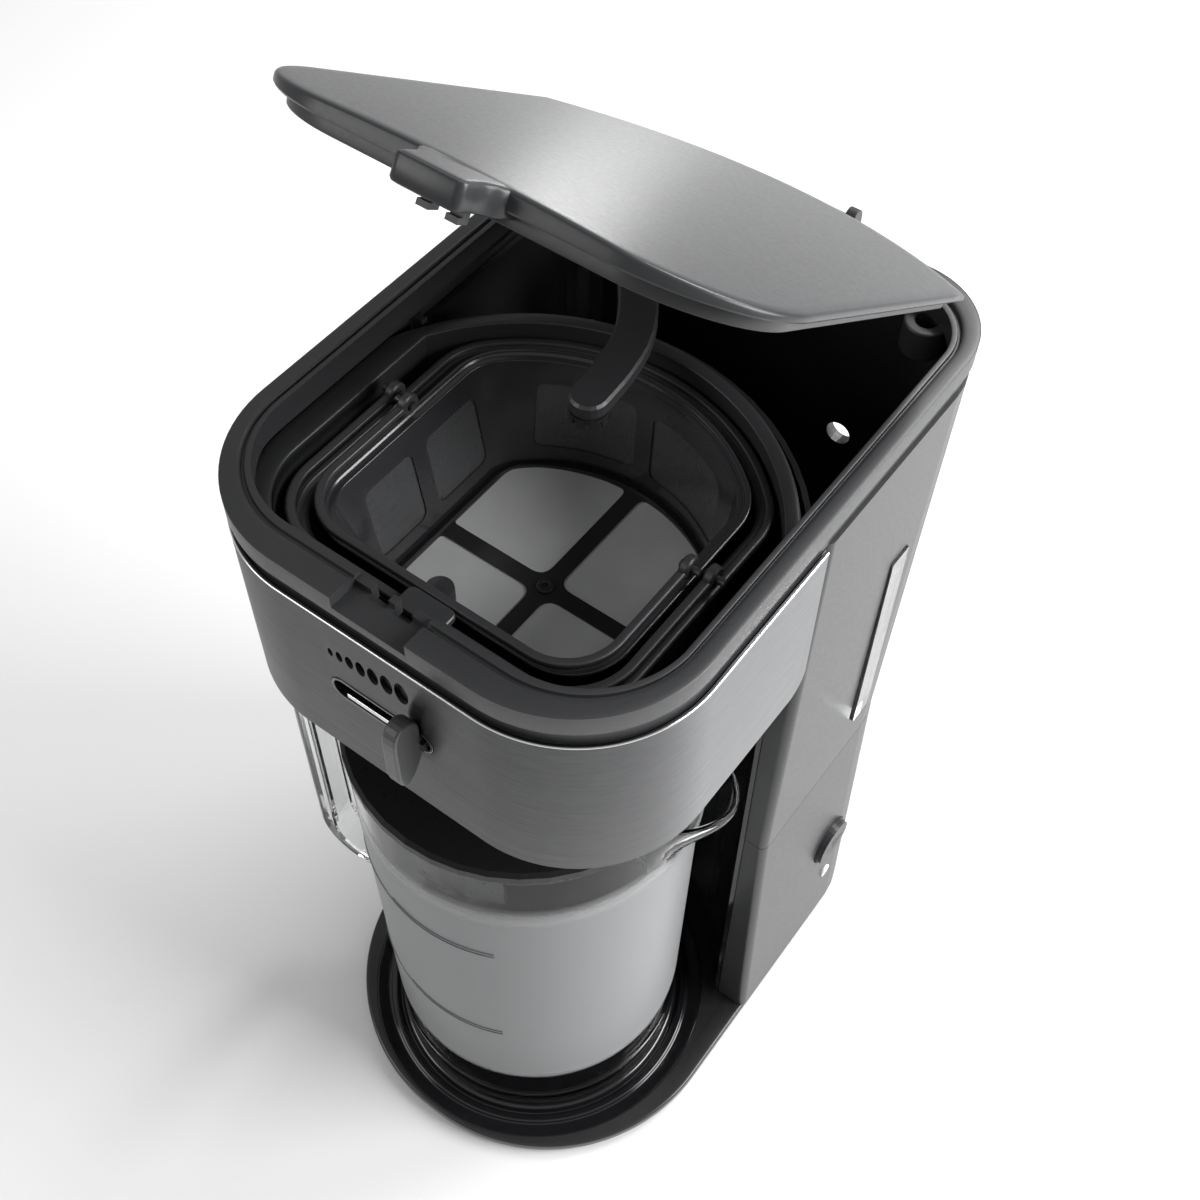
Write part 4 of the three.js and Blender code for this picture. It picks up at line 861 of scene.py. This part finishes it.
def make_filter(looks):
    """Frame of the permanent filter: floor cross with four panes, windows in the wall, and fine mesh."""
    low, high = FILTER_CUP["low"], FILTER_CUP["high"]
    section = rounded([
        (2.6, low, 1.5), (2.6, 319.4, 0.4), (0, 319.8, 0.8), (0, high, 1.1),
        (1.7, high, 0.5), (2.2, 321.2, 0.3), (4.2, 321.2, 0.5), (4.2, 279.4, 1.8),
    ], 0.5)
    section += [(6.2, 279), (6.8, 278.2), (12, 278.2), (12, low)]
    cage = loft("filter_cage", [cup_ring(FILTER, FILTER_CUP, inset, z) for inset, z in section], loop=True)
    floor = loft("tool", [cup_ring(FILTER, FILTER_CUP, 11.5, z) for z in (low + 0.1, 278.1)])
    boolean(cage, [floor], "UNION")
    windows = [loft("tool", [[(x, y, z) for x, y in plan] for z in (274, 279.5)]) for plan in pane_plans()]
    for y0, y1 in ((-14, 7), (13, 36)):
        windows.append(wall_window(y0, y1, low + 9, high - 10, along="Y"))
    for x0, x1 in ((-34, -3), (3, 34)):
        windows.append(wall_window(x0, x1, low + 9, high - 10, along="X"))
    boolean(cage, windows)
    soften(cage, 0.25)
    finish_piece(cage, looks["inner_plastic"], "filter", "charcoal_plastic", "filter_frame")

    section = rounded([(1.0, 278), (1.0, 279.2), (2.9, 279.2), (2.9, 278)], 0.5)
    rivet = turned("filter_rivet", section, 40, (0, HUB_Y))
    finish_piece(rivet, looks["inner_plastic"], "filter", "charcoal_plastic")

    clip = math.degrees(math.asin(THUMB["flat"] / THUMB["radius"]))
    rings = []
    for inset, z in ((0, 318.2), (0, 323.1), (0.2, 323.5), (0.6, 323.6)):
        edge = arc(THUMB["x"], THUMB["y"], THUMB["radius"] - inset, -clip, 180 + clip, 30)
        rings.append([(x, y, z) for x, y in edge])
    thumb = loft("filter_thumb_rest", rings)
    finish_piece(thumb, looks["inner_plastic"], "filter", "charcoal_plastic")

    rings = [cup_ring(FILTER, FILTER_CUP, 5.5, z) for z in (low + 0.45, low + 0.8)]
    sheet = loft("filter_floor_weave", rings)
    finish_piece(sheet, looks["filter_mesh"], "filter", "filter_mesh", "filter_floor_mesh")
    section = [(3.3, low + 6), (3.3, high - 8), (3.6, high - 8), (3.6, low + 6)]
    rings = [cup_ring(FILTER, FILTER_CUP, inset, z) for inset, z in section]
    belt = loft("filter_wall_weave", rings, loop=True)
    finish_piece(belt, looks["wall_mesh"], "filter", "filter_mesh", "filter_side_mesh")


def wall_window(a0, a1, z0, z1, along):
    """A round-cornered block that cuts both opposite walls, or only the rear wall for along X."""
    outline = rounded([(a0, z0), (a1, z0), (a1, z1), (a0, z1)], 3.5, 5)
    if along == "Y":
        return loft("tool", [[(x, a, z) for a, z in outline] for x in (-70, 70)])
    return loft("tool", [[(a, y, z) for a, z in outline] for y in (40, 90)])


def make_bail(looks, name, node, body, x, y, z, front, corner, width, height):
    """A flat strap bent into a U, with round eyes on its ends."""
    path = [(x, y - (y - front - corner) * i / 8, z) for i in range(8)]
    path += [(px, py, z) for px, py in arc(x - corner, front + corner, corner, 0, -90, 20)]
    path += [(x - corner - 2 * (x - corner) * i / 8, front, z) for i in range(1, 8)]
    path += [(px, py, z) for px, py in arc(-x + corner, front + corner, corner, 270, 180, 20)]
    path += [(-x, y - (y - front - corner) * i / 8, z) for i in range(7, -1, -1)]
    w, h = width / 2, height / 2
    section = rounded([(-w, -h), (w, -h), (w, h), (-w, h)], 0.9, 4)
    strap = swept(name, path, section)
    eyes = []
    for side in (-1, 1):
        eyes.append(rod("tool", (side * x - w, y, z), (side * x + w, y, z), 3.6, 40, 0.5))
    boolean(strap, eyes, "UNION")
    boolean(strap, [rod("tool", (-90, y, z), (90, y, z), 1.5, 24)])
    finish_piece(strap, looks["charcoal_plastic"], body, "charcoal_plastic", node)


def make_bail_grip(looks):
    """Flat finger grip on the front of the basket's bail."""
    outline = rounded([(-5, -46.2), (11, -46.2), (11, -38.6), (-5, -38.6)], 2.2, 5)
    middle = Vector((3, -42.4))
    rings = []
    for keep, z in ((0.96, 326.3), (1, 326.6), (1, 328.3), (0.96, 328.7), (0.9, 328.8)):
        rings.append([(*(middle + (Vector(p) - middle) * keep), z) for p in outline])
    grip = loft("basket_strap_grip", rings)
    finish_piece(grip, looks["charcoal_plastic"], "basket_bail_body", "charcoal_plastic")


def pitcher_radius(z):
    part = (z - PITCHER["bottom"]) / (PITCHER["top"] - PITCHER["bottom"])
    return PITCHER["radius"] + (PITCHER["top_radius"] - PITCHER["radius"]) * part


def spout_pull(angle, z):
    """How far the pouring lip stands out at an angle and a height."""
    turn = angle - SPOUT_ANGLE
    away = abs(math.atan2(math.sin(turn), math.cos(turn)))
    side = max(0.0, 1 - away / 0.42)
    rise = min(1.0, max(0.0, (z - 176) / (PITCHER["top"] - 176)))
    rise = rise * rise * (3 - 2 * rise)
    return side * side * (3 - 2 * side) * rise * rise * 15


def make_pitcher(looks):
    """Turned pitcher with a foot, and a spout pulled out of its rim."""
    wall = PITCHER["wall"]
    levels = [13, 20, 30, 45, 60, 80, 87.6, 88.2, 88.8, 89.4, 90, 110, 130, 150]
    levels += [159, 159.6, 160.2, 160.8, 161.4, 176, 184, 192, 198, 204, 210, 215, 218, 220]
    outside = [(pitcher_radius(z), z) for z in levels]
    inside = [(pitcher_radius(z) - wall, z) for z in levels[::-1][:-1]]
    foot = [(0.02, 11.5, 0), (45, 11.5, 2), (48, 9, 1), (55, 9, 2), (58.2, 13, 1.5)]
    foot = rounded(foot, 1, 4, closed=False)[:-1]
    inner_floor = [(pitcher_radius(20) - wall, 20, 0), (55, 15, 4), (50, 13, 3), (0.02, 13, 0)]
    inner_floor = rounded(inner_floor, 3, 5, closed=False)[1:]
    section = foot + outside + inside + inner_floor
    segments = 180
    rings = []
    for radius, z in section:
        ring = []
        for k in range(segments):
            angle = 2 * math.pi * k / segments
            size = radius
            if radius > 40:
                size += spout_pull(angle, z)
            ring.append((size * math.cos(angle), size * math.sin(angle), z))
        rings.append(ring)
    body = loft("pitcher_body", rings, loop=False, sharp=45)
    finish_piece(body, looks["frosted_plastic"], "pitcher_body", "frosted_plastic", "pitcher")


def make_fill_lines(looks):
    """Two raised fill lines round the front of the pitcher, each a long line with a short one above it."""
    for name, z in FILL_LINES.items():
        for suffix, rise, start, end in (("long", 0, 226, 296), ("short", 2.2, 256, 296)):
            radius = pitcher_radius(z + rise) - 0.05
            path = [(x, y, z + rise) for x, y in arc(0, 0, radius, start, end, 60)]
            section = [(0.45 * u, 0.3 * v) for u, v in arc(0, 0, 1, 0, 324, 9)]
            line = swept(f"{name}_{suffix}", path, section)
            finish_piece(line, looks["line_plastic"], "pitcher_body", "frosted_plastic")


def make_base(looks):
    """Base with a rolled edge, and the glossy stepped tray the pitcher stands on."""
    section = rounded([(1.2, 2.8, 0.6), (0, 3.6, 0.6), (0, 8, 1.4), (8, 8, 0.5), (8, 2.8, 0)], 0.5, 6)
    rings = []
    for inset, z in section:
        rings.append([(x, y, z) for x, y in plate(**shrunk(BASE, inset), corner=56)])
    edge = loft("base_edge", rings, loop=True)
    deck = loft("tool", [[(x, y, z) for x, y in plate(**shrunk(BASE, 7.5), corner=56)] for z in (2.9, 7.98)])
    boolean(edge, [deck], "UNION")
    well = rod("tool", (0, 0, 4.4), (0, 0, 20), 70.9, 160)
    cover = block("tool", -62, 62, 78, 130, 0, 5.5)
    boolean(edge, [well, cover])
    soften(edge, 0.5)
    finish_piece(edge, looks["base_plastic"], "body", "charcoal_plastic", "base_plate")

    profile = rounded([
        (0.02, 4.6, 0), (70.8, 4.6, 0.3), (70.8, 7.9, 0.5), (69.6, 7.6, 0.8),
        (66.5, 6.2, 3), (64.8, 5.9, 0.6), (64.2, 7.5, 0.7), (61.4, 7.2, 0.8),
        (60.9, 5.4, 0.6), (60, 5.4, 0.6), (59.2, 8.6, 1.2), (0.02, 8.6, 0),
    ], 0.5, 4)
    tray = turned("tray_dish", profile, 200)
    finish_piece(tray, looks["gloss_black"], "body", "gloss_black", "drip_tray")


def make_seam_shade(looks):
    """Dark strip in the groove between the two shells of the column, painted shade that stands for the shadow
    in the gap between them.
    """
    rings = []
    for inset, z in ((0.1, 146.5), (0.1, 147.9), (1.6, 147.9), (1.6, 146.5)):
        rings.append([(x, y, z) for x, y in plate(**shrunk(SEAM, inset))])
    strip = loft("painted_seam_shadow", rings, loop=True)
    boolean(strip, [rod("tool", (0, 0, 140), (0, 0, 155), 78.6, 120)])
    finish_piece(strip, looks["painted_seam_shade"], "body", "charcoal_plastic")


def dress_nodes(looks):
    """CAD nodes that keep their own shape get a material and softened edges."""
    hidden = {"top_rim", "lid_shell", "lid_liner", "steel_band", "slot_bezel", "brew_well", "brew_basket"}
    hidden |= {"filter_frame", "filter_floor_mesh", "filter_side_mesh", "basket_bail", "filter_bail"}
    hidden |= {"pitcher", "base_plate", "drip_tray"}
    special = {"button_bezel": looks["shell_plastic"], "strength_lever": looks["lever_plastic"]}
    special["pitcher_lid"] = looks["dull_black"]
    special |= {"lower_shell": looks["shell_plastic"], "column_shell": looks["shell_plastic"]}
    for side in ("left", "right"):
        special[f"basket_pin_{side}"] = looks["charcoal_plastic"]
        special[f"filter_pin_{side}"] = looks["charcoal_plastic"]
    slot_of = {part["node"]: part["material_slot"] for part in frame["record"]["subparts"]}
    for name, obj in frame["nodes"].items():
        obj.data.materials.clear()
        look = special.get(name, looks[slot_of[name]])
        obj.data.materials.append(look)
        if name in hidden:
            continue
        shade(obj, 30)
        if name in ("lower_shell", "column_shell", "strength_lever", "power_button"):
            soften(obj, 0.9)
        if name in ("spray_arm", "head_shell"):
            soften(obj, 0.5)


looks = make_materials()
add_camera()
add_stage()
dress_nodes(looks)
make_rim(looks)
make_lid(looks)
make_band(looks)
make_bezel(looks)
make_well(looks)
make_basket(looks)
make_filter(looks)
make_bail(looks, "basket_strap", "basket_bail", "basket_bail_body", **BASKET_BAIL)
make_bail(looks, "filter_strap", "filter_bail", "filter_bail_body", **FILTER_BAIL)
make_bail_grip(looks)
make_pitcher(looks)
make_fill_lines(looks)
make_base(looks)
make_seam_shade(looks)
